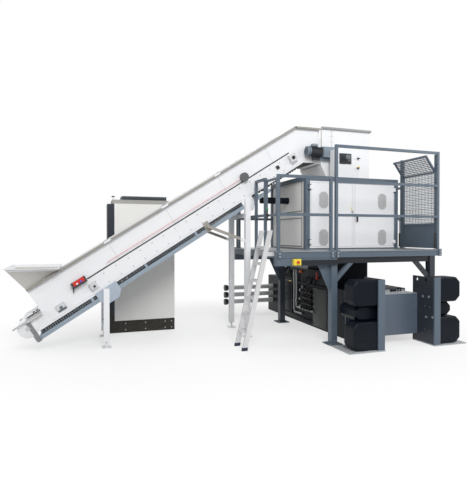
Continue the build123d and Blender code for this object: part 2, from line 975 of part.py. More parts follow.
# Cutting chamber with its shaft bores, and the drop chute below it
shaft_ys = (conv_mid - shaft_gap / 2, conv_mid + shaft_gap / 2)
chute_inset = deck_lip + slide_gap
with BuildPart() as cutting_chamber:
    block((throat_left, hood_near, deck_top), (hood_right, hood_far, shred_top))
    block(
        (throat_left + chute_inset, hood_near + chute_inset, press_high),
        (hood_right - chute_inset, hood_far - chute_inset, deck_top),
    )
    block(
        (throat_left + cut_wall, hood_near + cut_wall, deck_top),
        (hood_right - cut_wall, hood_far - cut_wall, shred_top + overrun),
        Mode.SUBTRACT,
    )
    chute_inner = chute_inset + sheet
    block(
        (throat_left + chute_inner, hood_near + chute_inner, press_high - overrun),
        (hood_right - chute_inner, hood_far - chute_inner, deck_top + overrun),
        Mode.SUBTRACT,
    )
    for y in shaft_ys:
        rod(
            (throat_left - overrun, y, cut_z),
            (1, 0, 0),
            journal_r + running_gap,
            hood_right - throat_left + 2 * overrun,
            Mode.SUBTRACT,
        )
save(cutting_chamber, "cutting_chamber")

# Cutting shafts: discs of one stand between the discs of the other, gears mesh at the right end
core_left = throat_left + cut_wall + disc_side_gap
core_right = hood_right - cut_wall - disc_side_gap
disc_pitch = 2 * (disc_thick + disc_side_gap)
disc_count = int((core_right - core_left) // disc_pitch)
gear_r = shaft_gap / 2
gear_left = hood_right + gear_wall_gap
gear_shares = ((0.92, 1.3), (1.06, 0.58))


def gear_wheel(y, turn):
    """A spur gear round a shaft, its first tooth turned by a share of one pitch."""
    half_pitch = pi / gear_teeth
    points = []
    for tooth in range(gear_teeth):
        middle = (tooth + turn) * 2 * half_pitch
        for radius_share, width_share in (gear_shares[0], gear_shares[1]):
            half = half_pitch / 2 * width_share * (1 - gear_backlash_share)
            points.append((radius_share, middle - half))
        for radius_share, width_share in (gear_shares[1], gear_shares[0]):
            half = half_pitch / 2 * width_share * (1 - gear_backlash_share)
            points.append((radius_share, middle + half))
    corners = [(gear_r * share * cos(angle), gear_r * share * sin(angle)) for share, angle in points]
    outline(
        Plane(origin=(gear_left, y, cut_z), x_dir=(0, 1, 0), z_dir=(1, 0, 0)),
        corners,
        gear_face,
    )


def cutting_shaft(y, first_disc, turn, left_end):
    """Core, journals, discs and gear of one shaft."""
    rod((core_left, y, cut_z), (1, 0, 0), shaft_r, core_right - core_left)
    rod((left_end, y, cut_z), (1, 0, 0), journal_r, gear_left + gear_face - left_end)
    for index in range(disc_count):
        x = core_left + index * disc_pitch + first_disc
        with BuildSketch(Plane(origin=(x, y, cut_z), x_dir=(0, 1, 0), z_dir=(1, 0, 0))) as disc:
            Circle(disc_r)
            with PolarLocations(disc_r, disc_teeth):
                Rectangle(disc_notch, disc_notch, mode=Mode.SUBTRACT)
        extrude(disc.sketch, amount=disc_thick)
    gear_wheel(y, turn)


with BuildPart() as cutting_shaft_front:
    cutting_shaft(shaft_ys[0], 0, 0, throat_left - drive_bore)
save(cutting_shaft_front, "cutting_shaft_front")

with BuildPart() as cutting_shaft_back:
    cutting_shaft(shaft_ys[1], disc_pitch / 2, 1 / 2, throat_left)
save(cutting_shaft_back, "cutting_shaft_back")

# Gear drive on the chamber's left wall, its motor reaching out through the side panel
drive_left = shred_left + drive_end_gap
with BuildPart() as cutting_drive:
    block(
        (drive_left, conv_mid - drive_width / 2, cut_z - drive_height / 2),
        (throat_left, conv_mid + drive_width / 2, cut_z + drive_height / 2),
    )
    rod((drive_left, conv_mid, motor_z), (-1, 0, 0), drive_motor_r, drive_motor_length)
    rod(
        (throat_left, shaft_ys[0], cut_z),
        (-1, 0, 0),
        journal_r + running_gap,
        drive_bore + free_gap,
        Mode.SUBTRACT,
    )
save(cutting_drive, "cutting_drive")

# Discharge hood: open to the conveyor on its left, narrowing to the chamber below
hood_points = [
    (hood_left, hood_top),
    (hood_left, throat_lip_z),
    (throat_left, shred_top),
    (hood_right, shred_top),
    (hood_right, hood_top),
]
hood_inner_points = [
    (hood_left + sheet, hood_top),
    (hood_left + sheet, throat_lip_z + sheet),
    (throat_left + sheet, shred_top),
    (hood_right - sheet, shred_top),
    (hood_right - sheet, hood_top),
]
with BuildPart() as discharge_hood:
    outline(facing_front(hood_far), hood_points, hood_far - hood_near)
    block(
        (hood_left, hood_near - hood_rim, hood_top - sheet),
        (hood_right + hood_rim, hood_far + hood_rim, hood_top),
    )
    outline(
        facing_front(hood_far - sheet),
        hood_inner_points,
        hood_far - hood_near - 2 * sheet,
        Mode.SUBTRACT,
    )
    block(
        (hood_left - overrun, hood_near + sheet, head_low - free_gap),
        (hood_left + overrun, hood_far - sheet, hood_top + overrun),
        Mode.SUBTRACT,
    )
save(discharge_hood, "discharge_hood")


def push_button(place, head_r, stem_r, head_length, travel):
    """A button on a face that looks to the front: its stem runs into the face's bore."""
    x, y, z = place
    rod((x, y - travel - face_gap, z), (0, -1, 0), head_r, head_length)
    rod((x, y - travel - face_gap, z), (0, 1, 0), stem_r, travel + face_gap + stem_depth / 2)


def stem_bore(place, stem_r):
    """The bore that a stem runs in."""
    x, y, z = place
    rod((x, y - overrun, z), (0, 1, 0), stem_r + running_gap, overrun + stem_depth, Mode.SUBTRACT)


def turn_knob(place, head_r, stem_r, head_depth, grip):
    """A round knob with a grip bar, turning on a stem in the face's bore."""
    x, y, z = place
    rod((x, y - face_gap, z), (0, -1, 0), head_r, head_depth / 2)
    block(
        (x - grip / 2, y - face_gap - head_depth, z - head_r),
        (x + grip / 2, y - face_gap - head_depth / 2, z + head_r),
    )
    rod((x, y - face_gap, z), (0, 1, 0), stem_r, face_gap + stem_depth / 2)


# Operator panel on the shredder's front beam
panel_right = panel_left + panel_width
panel_top = shred_top + panel_height
key_place = (
    panel_left + panel_width * panel_key_side_share,
    shred_front,
    shred_top + panel_height * panel_key_low_share,
)
panel_stop_place = (key_place[0], shred_front, shred_top + panel_height * panel_stop_low_share)
with BuildPart() as panel_box:
    block((panel_left, shred_front, shred_top), (panel_right, shred_front + panel_depth, panel_top))
    block(
        (panel_left + panel_wall, shred_front + panel_wall, shred_top - overrun),
        (panel_right - panel_wall, shred_front + panel_depth - panel_wall, panel_top - panel_wall),
        Mode.SUBTRACT,
    )
    for place, stem_r in ((key_place, knob_stem_r), (panel_stop_place, button_stem_r)):
        stem_bore(place, stem_r)
save(panel_box, "panel_box")

with BuildPart() as panel_screen:
    screen_x = panel_left + panel_width * screen_left_share
    screen_z = shred_top + panel_height * screen_low_share
    block(
        (screen_x, shred_front - screen_thick, screen_z),
        (screen_x + screen_width, shred_front, screen_z + screen_height),
    )
save(panel_screen, "panel_screen")

with BuildPart() as panel_stop_button:
    push_button(panel_stop_place, button_r, button_stem_r, button_head, button_travel)
save(panel_stop_button, "panel_stop_button")

with BuildPart() as panel_key_switch:
    turn_knob(key_place, switch_r, knob_stem_r, switch_depth, switch_grip)
save(panel_key_switch, "panel_key_switch")

# Emergency stop on the front cantilever beam
stop_face = -half_span - leg_half
stop_z = leg_top - cantilever_depth / 2
stop_place = (stop_box_x, stop_face - stop_box_depth, stop_z)
with BuildPart() as stop_box:
    block(
        (stop_box_x - stop_box_width / 2, stop_face - stop_box_depth, stop_z - stop_box_height / 2),
        (stop_box_x + stop_box_width / 2, stop_face, stop_z + stop_box_height / 2),
    )
    stem_bore(stop_place, button_stem_r)
save(stop_box, "stop_box")

with BuildPart() as stop_button:
    push_button(stop_place, button_r, button_stem_r, button_head, button_travel)
save(stop_button, "stop_button")


def bend_point(v):
    """Where the slope's line at a height v meets the level line at the same height."""
    u = (head_low + v - conv_foot_z - v * slope_cos) / slope_sin
    x, _, z = on_slope(u, v, 0)
    return (x, z)


def flat(u, v):
    """A slope point as an x and z pair."""
    x, _, z = on_slope(u, v, 0)
    return (x, z)


def bend_arc(v):
    """Points round the belt's bend at a height v, from the slope to the level."""
    reach = v - drum_centre
    turns = [radians(slope) * (1 - index / bend_steps) for index in range(bend_steps + 1)]
    return [(belt_bend[0] - reach * sin(turn), belt_bend[1] + reach * cos(turn)) for turn in turns]


tail_centre = flat(tail_u, drum_centre)
head_centre = (head_x, head_z)
belt_bend = bend_point(drum_centre)
head_right = head_x + head_end


def conveyor_side(inner_y, flange_y):
    """One folded side sheet: its plate, its rim flange and the two shaft bores."""
    far_face = inner_y
    outline(
        facing_front(far_face),
        [
            flat(tail_u, 0),
            bend_point(0),
            (head_right, head_low),
            (head_right, rim_z),
            (rim_x, rim_z),
            flat(rim_start, side_height),
            flat(rim_start, 2 * drum_centre),
            flat(tail_u, 2 * drum_centre),
        ],
        side_sheet,
    )
    rod((tail_centre[0], far_face - side_sheet, tail_centre[1]), (0, 1, 0), drum_centre, side_sheet)
    outline(
        incline(flange_y),
        [
            (rim_start, side_height),
            (rim_start, side_height - side_sheet),
            (rim_bend, side_height - side_sheet),
            (rim_bend, side_height),
        ],
        rim_flange,
    )
    block((rim_x, flange_y - rim_flange, rim_z - side_sheet), (head_right, flange_y, rim_z))
    for x, z in (tail_centre, head_centre):
        rod(
            (x, far_face - side_sheet - overrun, z),
            (0, 1, 0),
            drum_shaft_r + running_gap,
            side_sheet + 2 * overrun,
            Mode.SUBTRACT,
        )


with BuildPart() as conveyor_side_near:
    conveyor_side(side_sheet, 0)
    outline(
        incline(side_sheet / 2),
        [
            (low_leg_u, slot_height),
            (isolator_u, slot_height),
            (isolator_u, slot_height + slot_gap),
            (low_leg_u, slot_height + slot_gap),
        ],
        side_sheet,
        Mode.SUBTRACT,
    )
save(conveyor_side_near, "conveyor_side_near")

with BuildPart() as conveyor_side_far:
    conveyor_side(conv_width, conv_width + rim_flange)
save(conveyor_side_far, "conveyor_side_far")

# Slider bed between the sides, under the belt's carrying run
bed_high = 2 * drum_centre - belt_thick - bed_gap
bed_low = bed_high - bed_thick
bed_start = tail_u + wall_end_gap
bed_end = head_x - wall_end_gap
with BuildPart() as conveyor_bed:
    outline(
        facing_front(conv_width - side_sheet),
        [
            flat(bed_start, bed_low),
            *bend_arc(bed_low),
            (bed_end, head_low + bed_low),
            (bed_end, head_low + bed_high),
            *reversed(bend_arc(bed_high)),
            flat(bed_start, bed_high),
        ],
        conv_width - 2 * side_sheet,
    )
    rib_count = int((bend_u - bed_start) // bed_rib_pitch)
    for index in range(rib_count):
        u = bed_start + index * bed_rib_pitch
        outline(
            incline(conv_width - side_sheet),
            [
                (u, bed_low),
                (u, bed_low - bed_rib_width),
                (u + bed_rib_width, bed_low - bed_rib_width),
                (u + bed_rib_width, bed_low),
            ],
            conv_width - 2 * side_sheet,
        )
save(conveyor_bed, "conveyor_bed")

# Belt: a closed loop round both drums, with corrugated side walls
belt_near = side_sheet + belt_side_gap
belt_far = conv_width - side_sheet - belt_side_gap


def belt_loop(radius, near, far, mode=Mode.ADD):
    """The space round both drums and the bend, out to a radius."""
    for x, z in (tail_centre, belt_bend, head_centre):
        rod((x, near, z), (0, 1, 0), radius, far - near, mode)
    low_v = drum_centre - radius
    high_v = drum_centre + radius
    outline(
        incline(far),
        [(tail_u, low_v), (bend_u, low_v), (bend_u, high_v), (tail_u, high_v)],
        far - near,
        mode,
    )
    block((belt_bend[0], near, head_z - radius), (head_x, far, head_z + radius), mode)


def wall_comb(back_y, base_v, height):
    """A run of corrugated side wall along the slope, standing off a base line."""
    start = tail_u + wall_end_gap
    count = int((bend_u - wall_end_gap - start) // wall_pitch)
    points = [(start, base_v)]
    for index in range(count):
        u = start + index * wall_pitch
        points += [
            (u, base_v + height),
            (u + wall_pitch / 2, base_v + height),
            (u + wall_pitch / 2, base_v + height / 2),
            (u + wall_pitch, base_v + height / 2),
        ]
    points.append((start + count * wall_pitch, base_v))
    outline(incline(back_y), points, wall_width)


with BuildPart() as conveyor_belt:
    belt_loop(drum_centre, belt_near, belt_far)
    belt_loop(drum_centre - belt_thick, belt_near - overrun, belt_far + overrun, Mode.SUBTRACT)
    for back_y in (belt_near + wall_width, belt_far):
        wall_comb(back_y, 2 * drum_centre - belt_thick / 2, wall_height)
        wall_comb(back_y, belt_thick / 2, -wall_height)
save(conveyor_belt, "conveyor_belt")

# Drums with their shafts
drum_r = drum_centre - belt_thick - drum_gap
drum_near = side_sheet + drum_side_gap
drum_length = conv_width - 2 * drum_near


def drum(centre, near_end, far_end):
    """A belt drum and its shaft."""
    x, z = centre
    rod((x, drum_near, z), (0, 1, 0), drum_r, drum_length)
    rod((x, near_end, z), (0, 1, 0), drum_shaft_r, far_end - near_end)


with BuildPart() as head_drum:
    drum(head_centre, motor_back - torque_plate / 2, conv_width + overrun)
save(head_drum, "head_drum")

with BuildPart() as tail_drum:
    drum(tail_centre, -overrun, conv_width + overrun)
save(tail_drum, "tail_drum")

# Guard tray under the return run, hung from the sides on tabs
guard_high = -guard_drop
guard_low = guard_high - guard_depth
with BuildPart() as conveyor_guard:
    for back_y in (side_sheet, conv_width):
        outline(
            incline(back_y),
            [
                (guard_start, guard_low),
                (guard_end, guard_low),
                (guard_end, guard_high),
                (guard_start, guard_high),
            ],
            side_sheet,
        )
        tab_count = int((guard_end - guard_start) // bed_rib_pitch)
        for index in range(tab_count + 1):
            u = guard_start + index * bed_rib_pitch
            outline(
                incline(back_y),
                [(u, guard_high), (u + bed_rib_width, guard_high), (u + bed_rib_width, 0), (u, 0)],
                side_sheet,
            )
    outline(
        incline(conv_width),
        [
            (guard_start, guard_low),
            (guard_end, guard_low),
            (guard_end, guard_low + sheet),
            (guard_start, guard_low + sheet),
        ],
        conv_width,
    )
save(conveyor_guard, "conveyor_guard")

# Feed hopper: flares out from the rim of the conveyor's low end
throat_length = hopper_throat - rim_start
throat_middle = on_slope(rim_start + throat_length / 2, side_height, conv_mid)
hopper_rim_right = flat(hopper_throat, side_height)[0]
hopper_length = hopper_rim_right - hopper_rim_left
hopper_width = conv_width + 2 * hopper_flare
hopper_mid_x = (hopper_rim_left + hopper_rim_right) / 2
with BuildPart() as feed_hopper:
    with BuildSketch(
        Plane(origin=throat_middle, x_dir=(slope_cos, 0, slope_sin), z_dir=(-slope_sin, 0, slope_cos))
    ):
        Rectangle(throat_length, conv_width)
    with BuildSketch(Plane(origin=(hopper_mid_x, conv_mid, hopper_rim_z))):
        Rectangle(hopper_length, hopper_width)
    loft(ruled=True)
    with Locations((hopper_mid_x, conv_mid, hopper_rim_z - sheet / 2)):
        Box(hopper_length + 2 * hopper_lip, hopper_width + 2 * hopper_lip, sheet)
    with BuildSketch(
        Plane(origin=throat_middle, x_dir=(slope_cos, 0, slope_sin), z_dir=(-slope_sin, 0, slope_cos))
    ):
        Rectangle(throat_length - 2 * sheet, conv_width - 2 * sheet)
    with BuildSketch(Plane(origin=(hopper_mid_x, conv_mid, hopper_rim_z))):
        Rectangle(hopper_length - 2 * sheet, hopper_width - 2 * sheet)
    loft(ruled=True, mode=Mode.SUBTRACT)
    end_low = 2 * drum_centre + wall_height + free_gap
    outline(
        incline(conv_width - side_sheet),
        [
            (rim_start, end_low),
            (rim_start + sheet, end_low),
            (rim_start + sheet, side_height),
            (rim_start, side_height),
        ],
        conv_width - 2 * side_sheet,
    )
save(feed_hopper, "feed_hopper")

# Belt take-ups at the tail: a screw in a tube on each side
take_up_v = 2 * drum_centre - take_up_tube_r
with BuildPart() as take_ups:
    for y in (-take_up_tube_r, conv_width + take_up_tube_r):
        start = on_slope(rim_start - take_up_length, take_up_v, y)
        along = (slope_cos, 0, slope_sin)
        rod(start, along, take_up_r, take_up_length)
        rod(on_slope(rim_start - take_up_length / 2, take_up_v, y), along, take_up_tube_r, take_up_length / 2)
        outline(
            incline(y + take_up_tube_r),
            [
                (rim_start - take_up_length / 2, take_up_v - take_up_r),
                (rim_start, take_up_v - take_up_r),
                (rim_start, take_up_v + take_up_r),
                (rim_start - take_up_length / 2, take_up_v + take_up_r),
            ],
            2 * take_up_tube_r,
        )
save(take_ups, "take_ups")

# Gear motor: torque plate on the head drum's shaft, gear case in front of the hood, motor beside it
gear_motor_y = motor_back - gearbox_depth / 2
gear_motor_z = head_z + motor_rise
with BuildPart() as conveyor_motor:
    block(
        (head_x - torque_plate_half, motor_back - torque_plate, head_z - torque_plate_half),
        (gearbox_right, motor_back, head_z + torque_plate_half),
    )
    rod((head_x, motor_back, head_z), (0, 1, 0), shaft_boss_r, -motor_back)
    block(
        (gearbox_left, motor_back - gearbox_depth, head_z - gearbox_low),
        (gearbox_right, motor_back, head_z + gearbox_high),
    )
    rod((gearbox_left, gear_motor_y, gear_motor_z), (-1, 0, 0), motor_r, gearbox_left - motor_left)
    box_x = (gearbox_left + motor_left) / 2
    block(
        (box_x - motor_box / 2, gear_motor_y - motor_box / 2, gear_motor_z),
        (box_x + motor_box / 2, gear_motor_y + motor_box / 2, gear_motor_z + motor_r + motor_box / 2),
    )
    rod(
        (head_x, motor_back - torque_plate, head_z),
        (0, 1, 0),
        drum_shaft_r + running_gap,
        torque_plate - motor_back,
        Mode.SUBTRACT,
    )
save(conveyor_motor, "conveyor_motor")

# Conveyor supports: a pair of jack legs with a tie, bolted to saddle plates on the sides
leg_outer = saddle_thick + conv_leg_side


def support(u, saddle_reach, tie_z):
    """One support: legs outside both sides, saddles, jack feet and a tie."""
    x, leg_end = flat(u, 0)
    half = conv_leg_side / 2
    for near, back in ((-leg_outer, 0), (conv_width + saddle_thick, conv_width + saddle_thick)):
        middle = near + half
        block((x - half, near, jack_height), (x + half, near + conv_leg_side, leg_end))
        rod((x, middle, 0), (0, 0, 1), jack_r, jack_height)
        foot = conv_foot_side / 2
        block((x - foot, middle - foot, 0), (x + foot, middle + foot, conv_foot_thick))
        outline(
            incline(back),
            [
                (u - saddle_reach, saddle_chamfer - saddle_drop),
                (u - saddle_reach + saddle_chamfer, -saddle_drop),
                (u + saddle_reach - saddle_chamfer, -saddle_drop),
                (u + saddle_reach, saddle_chamfer - saddle_drop),
                (u + saddle_reach, saddle_rise),
                (u - saddle_reach, saddle_rise),
            ],
            saddle_thick,
        )
    block((x - half, -leg_outer, tie_z), (x + half, conv_width + leg_outer, tie_z + tie_height))


with BuildPart() as conveyor_supports:
    support(low_leg_u, saddle_width / 2, tie_low)
    support(high_leg_u, high_saddle_width / 2, flat(high_leg_u, guard_low)[1] - high_tie_drop)
    # Diagonal braces from the high legs to the sides
    brace_top = flat(brace_top_u, 0)
    high_leg = flat(high_leg_u, 0)
    for bar_back, tab_back in (
        (-saddle_thick, 0),
        (conv_width + saddle_thick + brace_bar, conv_width + saddle_thick),
    ):
        face_x = high_leg[0] - conv_leg_side / 2
        face_z = high_leg[1] - brace_leg_drop
        outline(
            facing_front(bar_back),
            [
                brace_top,
                (brace_top[0], brace_top[1] - brace_bar),
                (face_x, face_z - brace_bar),
                (face_x, face_z),
            ],
            brace_bar,
        )
        outline(
            incline(tab_back),
            [
                (brace_top_u - brace_bar, guard_low),
                (brace_top_u + brace_bar, guard_low),
                (brace_top_u + brace_bar, brace_bar),
                (brace_top_u - brace_bar, brace_bar),
            ],
            saddle_thick,
        )
save(conveyor_supports, "conveyor_supports")


def side_box(u, v, length, height, depth):
    """A box on the near side's outer face, centred on a slope point."""
    outline(
        incline(0),
        [
            (u - length / 2, v - height / 2),
            (u + length / 2, v - height / 2),
            (u + length / 2, v + height / 2),
            (u - length / 2, v + height / 2),
        ],
        depth,
    )


# Small boxes on the near side: switch box, connector plate, isolator, pull switch and cord eyes
isolator_place = on_slope(isolator_u, isolator_v, -isolator_depth)
cord_y = -cord_stand
with BuildPart() as conveyor_boxes:
    side_box(small_box_u, small_box_v, small_box_side, small_box_side, small_box_depth)
    side_box(connector_u, small_box_v, connector_length, connector_height, connector_depth)
    side_box(isolator_u, isolator_v, isolator_side, isolator_side, isolator_depth)
    stem_bore(isolator_place, knob_stem_r)
    rod(on_slope(pull_switch_u, cord_v, 0), (0, -1, 0), pull_switch_r, pull_switch_depth)
    eye_count = int((cord_high_u - cord_low_u) // cord_eye_pitch) + 1
    for index in range(eye_count):
        u = cord_low_u + index * cord_eye_pitch
        side_box(u, cord_v, cord_eye_side, cord_eye_side, cord_stand + cord_eye_side)
    rod(
        on_slope(cord_low_u + cord_eye_side / 2, cord_v, cord_y),
        (slope_cos, 0, slope_sin),
        cord_r,
        pull_switch_u - cord_low_u - cord_eye_side / 2 - pull_switch_r / 2,
        Mode.SUBTRACT,
    )
save(conveyor_boxes, "conveyor_boxes")

with BuildPart() as isolator_knob:
    turn_knob(isolator_place, knob_r, knob_stem_r, knob_depth, knob_grip)
save(isolator_knob, "isolator_knob")

# Taut pull cord between its end eye and the switch
with BuildPart() as pull_cord:
    rod(
        on_slope(cord_low_u + cord_eye_side / 2, cord_v, cord_y),
        (slope_cos, 0, slope_sin),
        cord_r,
        pull_switch_u - cord_low_u - cord_eye_side / 2 - pull_switch_r / 2,
    )
save(pull_cord, "pull_cord")

# Control box with a start and a stop button
start_place = on_slope(control_u - control_button_gap / 2, control_v, -control_depth)
reset_place = on_slope(control_u + control_button_gap / 2, control_v, -control_depth)
with BuildPart() as control_box:
    side_box(control_u, control_v, control_length, control_height, control_depth)
    for place in (start_place, reset_place):
        stem_bore(place, button_stem_r)
save(control_box, "control_box")

with BuildPart() as start_button:
    push_button(start_place, control_button_r, button_stem_r, control_button_head, control_button_travel)
save(start_button, "start_button")

with BuildPart() as reset_button:
    push_button(reset_place, control_button_r, button_stem_r, control_button_head, control_button_travel)
save(reset_button, "reset_button")

# Press chamber: open to the front, with the intake in its roof and the rod's hole at the back
press_inner = press_half_width - press_wall
press_floor = press_low + press_wall
press_roof = press_high - press_wall
press_axis = (press_low + press_high) / 2
with BuildPart() as press_chamber:
    block(
        (-press_half_width, press_front, press_low),
        (press_half_width, press_back, press_high),
    )
    block(
        (-press_inner, press_front - overrun, press_floor),
        (press_inner, press_back - press_wall, press_roof),
        Mode.SUBTRACT,
    )
    block(
        (throat_left + chute_inner, hood_near + chute_inner, press_roof - overrun),
        (hood_right - chute_inner, hood_far - chute_inner, press_high + overrun),
        Mode.SUBTRACT,
    )
    rod(
        (0, press_back - press_wall - overrun, press_axis),
        (0, 1, 0),
        rod_r + running_gap,
        press_wall + 2 * overrun,
        Mode.SUBTRACT,
    )
    for x in (-press_half_width, press_half_width - skid_width):
        block((x, press_front, 0), (x + skid_width, press_back, press_low))
    block(
        (-press_half_width - wall_panel_thick, wall_panel_front, wall_panel_low),
        (-press_half_width, wall_panel_back, wall_panel_high),
    )
save(press_chamber, "press_chamber")

# Bale box in front of the chamber, with its bolting flange and lifting eye
with BuildPart() as bale_box:
    block((-bale_half_width, bale_front, bale_low), (bale_half_width, press_front, bale_high))
    block(
        (-press_half_width, press_front - bale_wall, press_low),
        (press_half_width, press_front, press_high),
    )
    block(
        (-bale_half_width + bale_wall, bale_front + bale_wall, bale_low + bale_wall),
        (bale_half_width - bale_wall, press_front + overrun, bale_high - bale_wall),
        Mode.SUBTRACT,
    )
    eye_y = (bale_front + press_front) / 2
    block(
        (eye_x - eye_r, eye_y - eye_thick / 2, bale_high),
        (eye_x + eye_r, eye_y + eye_thick / 2, bale_high + eye_r),
    )
    rod((eye_x, eye_y - eye_thick / 2, bale_high + eye_r), (0, 1, 0), eye_r, eye_thick)
    rod(
        (eye_x, eye_y - eye_thick, bale_high + eye_r),
        (0, 1, 0),
        eye_hole_r,
        2 * eye_thick,
        Mode.SUBTRACT,
    )
    block(
        (eye_x - 2 * lug_length, eye_y - lug_length / 2, bale_high),
        (eye_x - lug_length, eye_y, bale_high + lug_length / 2),
    )
save(bale_box, "bale_box")

# Press ram with its piston rod
with BuildPart() as press_ram:
    ram_half = press_inner - slide_gap
    ram_back = ram_front + ram_length
    block((-ram_half, ram_front, press_floor), (ram_half, ram_back, press_roof - slide_gap))
    rod_end = press_back + cylinder_length - cylinder_flange - free_gap
    rod((0, ram_back, press_axis), (0, 1, 0), rod_r, rod_end - ram_back)
save(press_ram, "press_ram")

with BuildPart() as ram_cylinder:
    rod((0, press_back, press_axis), (0, 1, 0), cylinder_r, cylinder_length)
    rod((0, press_back, press_axis), (0, 1, 0), cylinder_flange_r, cylinder_flange)
    rod(
        (0, press_back - overrun, press_axis),
        (0, 1, 0),
        rod_r + running_gap,
        cylinder_length - cylinder_flange + overrun,
        Mode.SUBTRACT,
    )
save(ram_cylinder, "ram_cylinder")

# Tying columns on both sides of the bale box: web, front flange, base plate, lifting hole, bolts
web_outer = bale_half_width + column_plate
column_back = bale_front + column_lap
with BuildPart() as tying_columns:
    for side in (-1, 1):
        web = sorted((side * bale_half_width, side * web_outer))
        flange = sorted((side * bale_half_width, side * (web_outer + column_flange)))
        base = sorted((side * bale_half_width, side * (web_outer + column_base_reach)))
        block((web[0], column_front, column_base), (web[1], column_back, column_height))
        block((flange[0], column_front, column_base), (flange[1], column_front + column_plate, column_height))
        block((base[0], column_front - column_base, 0), (base[1], column_back, column_base))
        for y in (column_front + 2 * column_flange, column_back - column_flange):
            rod(
                (side * bale_half_width - side * overrun, y, column_height - 2 * column_hole_r),
                (side, 0, 0),
                column_hole_r,
                column_plate + 2 * overrun,
                Mode.SUBTRACT,
            )
            for z in (bale_low + column_flange, bale_high - 2 * column_flange):
                rod(
                    (side * bale_half_width, column_front + (y - column_front) / 2, z),
                    (-side, 0, 0),
                    column_bolt_r,
                    column_bolt_high,
                )
save(tying_columns, "tying_columns")


def cover(side, front, back, reach, low, high):
    """A chamfered cover on the outer face of one column."""
    inner = side * web_outer
    outer = side * (web_outer + reach)
    cut = side * cover_round
    outline(
        facing_front(back),
        [
            (inner, low),
            (outer - cut, low),
            (outer, low + cover_round),
            (outer, high - cover_round),
            (outer - cut, high),
            (inner, high),
        ],
        back - front,
    )


# Covers of the tying gear: top and bottom reach out furthest, a shorter one is set back between them
with BuildPart() as tying_covers:
    for side in (-1, 1):
        cover_front = column_front + column_plate
        cover_back = cover_front + cover_depth
        mid_front = cover_front + cover_mid_setback
        mid_back = bale_front + cover_mid_tail
        cover(side, cover_front, cover_back, cover_reach, cover_top_low, cover_top_high)
        cover(side, cover_front, cover_back, cover_reach, cover_low_low, cover_low_high)
        cover(side, mid_front, mid_back, cover_mid_reach, cover_mid_low, cover_mid_high)
save(tying_covers, "tying_covers")

# Hydraulic power pack behind the chamber, with its valve unit on the chamber's roof
with BuildPart() as power_pack:
    pack_back = pack_front + pack_depth
    block((pack_left, pack_front, 0), (pack_left + pack_width, pack_back, pack_height))
    rod(
        (pack_left + pack_width / 2, (pack_front + pack_back) / 2, pack_height),
        (0, 0, 1),
        pack_motor_r,
        pack_motor_height,
    )
    block(
        (-press_half_width, wall_panel_front, press_high),
        (throat_left - slide_gap, press_back, top_unit_high),
    )
    block(
        (-press_half_width, hood_far + slide_gap, press_high),
        (top_unit_right, press_back, top_unit_high),
    )
save(power_pack, "power_pack")

# Hydraulic pipes on the chamber's left wall, each in two clamps
pipe_x = -press_half_width - pipe_stand
pipe_bend_r = pipe_bend_share * pipe_r
with BuildPart() as hydraulic_pipes:
    for index, run in enumerate((pipe_run, pipe_run / 2)):
        y = pipe_y + index * pipe_gap
        z = pipe_low - index * pipe_gap
        with BuildLine() as path:
            FilletPolyline((pipe_x, y, pipe_high), (pipe_x, y, z), (pipe_x, y - run, z), radius=pipe_bend_r)
        with BuildSketch(Plane(origin=(pipe_x, y, pipe_high), z_dir=(0, 0, -1))) as section:
            Circle(pipe_r)
        sweep(section.sketch, path=path.line)
        for clamp_z in (pipe_high - 2 * pipe_clamp, pipe_low + 2 * pipe_clamp):
            block((pipe_x - pipe_r, y - pipe_r, clamp_z), (-press_half_width, y + pipe_r, clamp_z + pipe_clamp))
save(hydraulic_pipes, "hydraulic_pipes")

# Wire spools on arms that stand out from the power pack
with BuildPart() as wire_spools:
    for index in range(3):
        z = spool_low + index * spool_step
        rod((pack_left, spool_y, z), (-1, 0, 0), spool_r, spool_length)
        rod((pack_left - spool_length, spool_y, z), (-1, 0, 0), spool_end_r, spool_end_length)
save(wire_spools, "wire_spools")

# Control cabinet: dark base and edge duct, body with its cooling unit, door at the back
cab_right = cab_left + cab_width
cab_back = cab_front + cab_depth
cab_top = cab_plinth + cab_height
cab_pin_x = cab_right - cab_door_gap - cab_door_thick / 2
cab_pin_y = cab_back + cab_door_gap + cab_door_thick / 2
with BuildPart() as cabinet_base:
    block((cab_left, cab_front, 0), (cab_right, cab_back - cab_plinth_inset, cab_plinth))
    block((cab_left - cab_edge, cab_front, 0), (cab_left, cab_front + cab_edge_depth, cab_top - cab_edge_drop))
save(cabinet_base, "cabinet_base")

with BuildPart() as cabinet_body:
    block((cab_left, cab_front, cab_plinth), (cab_right, cab_back, cab_top))
    block(
        (cab_left + cab_wall, cab_front + cab_wall, cab_plinth + cab_wall),
        (cab_right - cab_wall, cab_back + overrun, cab_top - cab_wall),
        Mode.SUBTRACT,
    )
    cooler_left = cab_left + (cab_width - cooler_width) / 2
    cooler_front = cab_front + (cab_depth - cooler_depth) / 2
    roof_top = cab_top + cab_roof_height
    block(
        (cab_left - cab_roof_lap, cab_front + cab_plinth_inset, cab_top),
        (cab_right, cab_back - cab_plinth_inset, roof_top),
    )
    block(
        (cooler_left, cooler_front, roof_top),
        (cooler_left + cooler_width, cooler_front + cooler_depth, roof_top + cooler_height),
    )
    for face_z, towards in ((cab_plinth, 1), (cab_top, -1)):
        outer_z = face_z - towards * cab_bracket_thick
        block(
            (cab_right - cab_bracket, cab_back - cab_plinth_inset, min(face_z, outer_z)),
            (cab_right, cab_pin_y + cab_door_thick, max(face_z, outer_z)),
        )
        rod((cab_pin_x, cab_pin_y, face_z), (0, 0, towards), cab_pin_r, cab_door_gap + cab_pin_length)
save(cabinet_body, "cabinet_body")

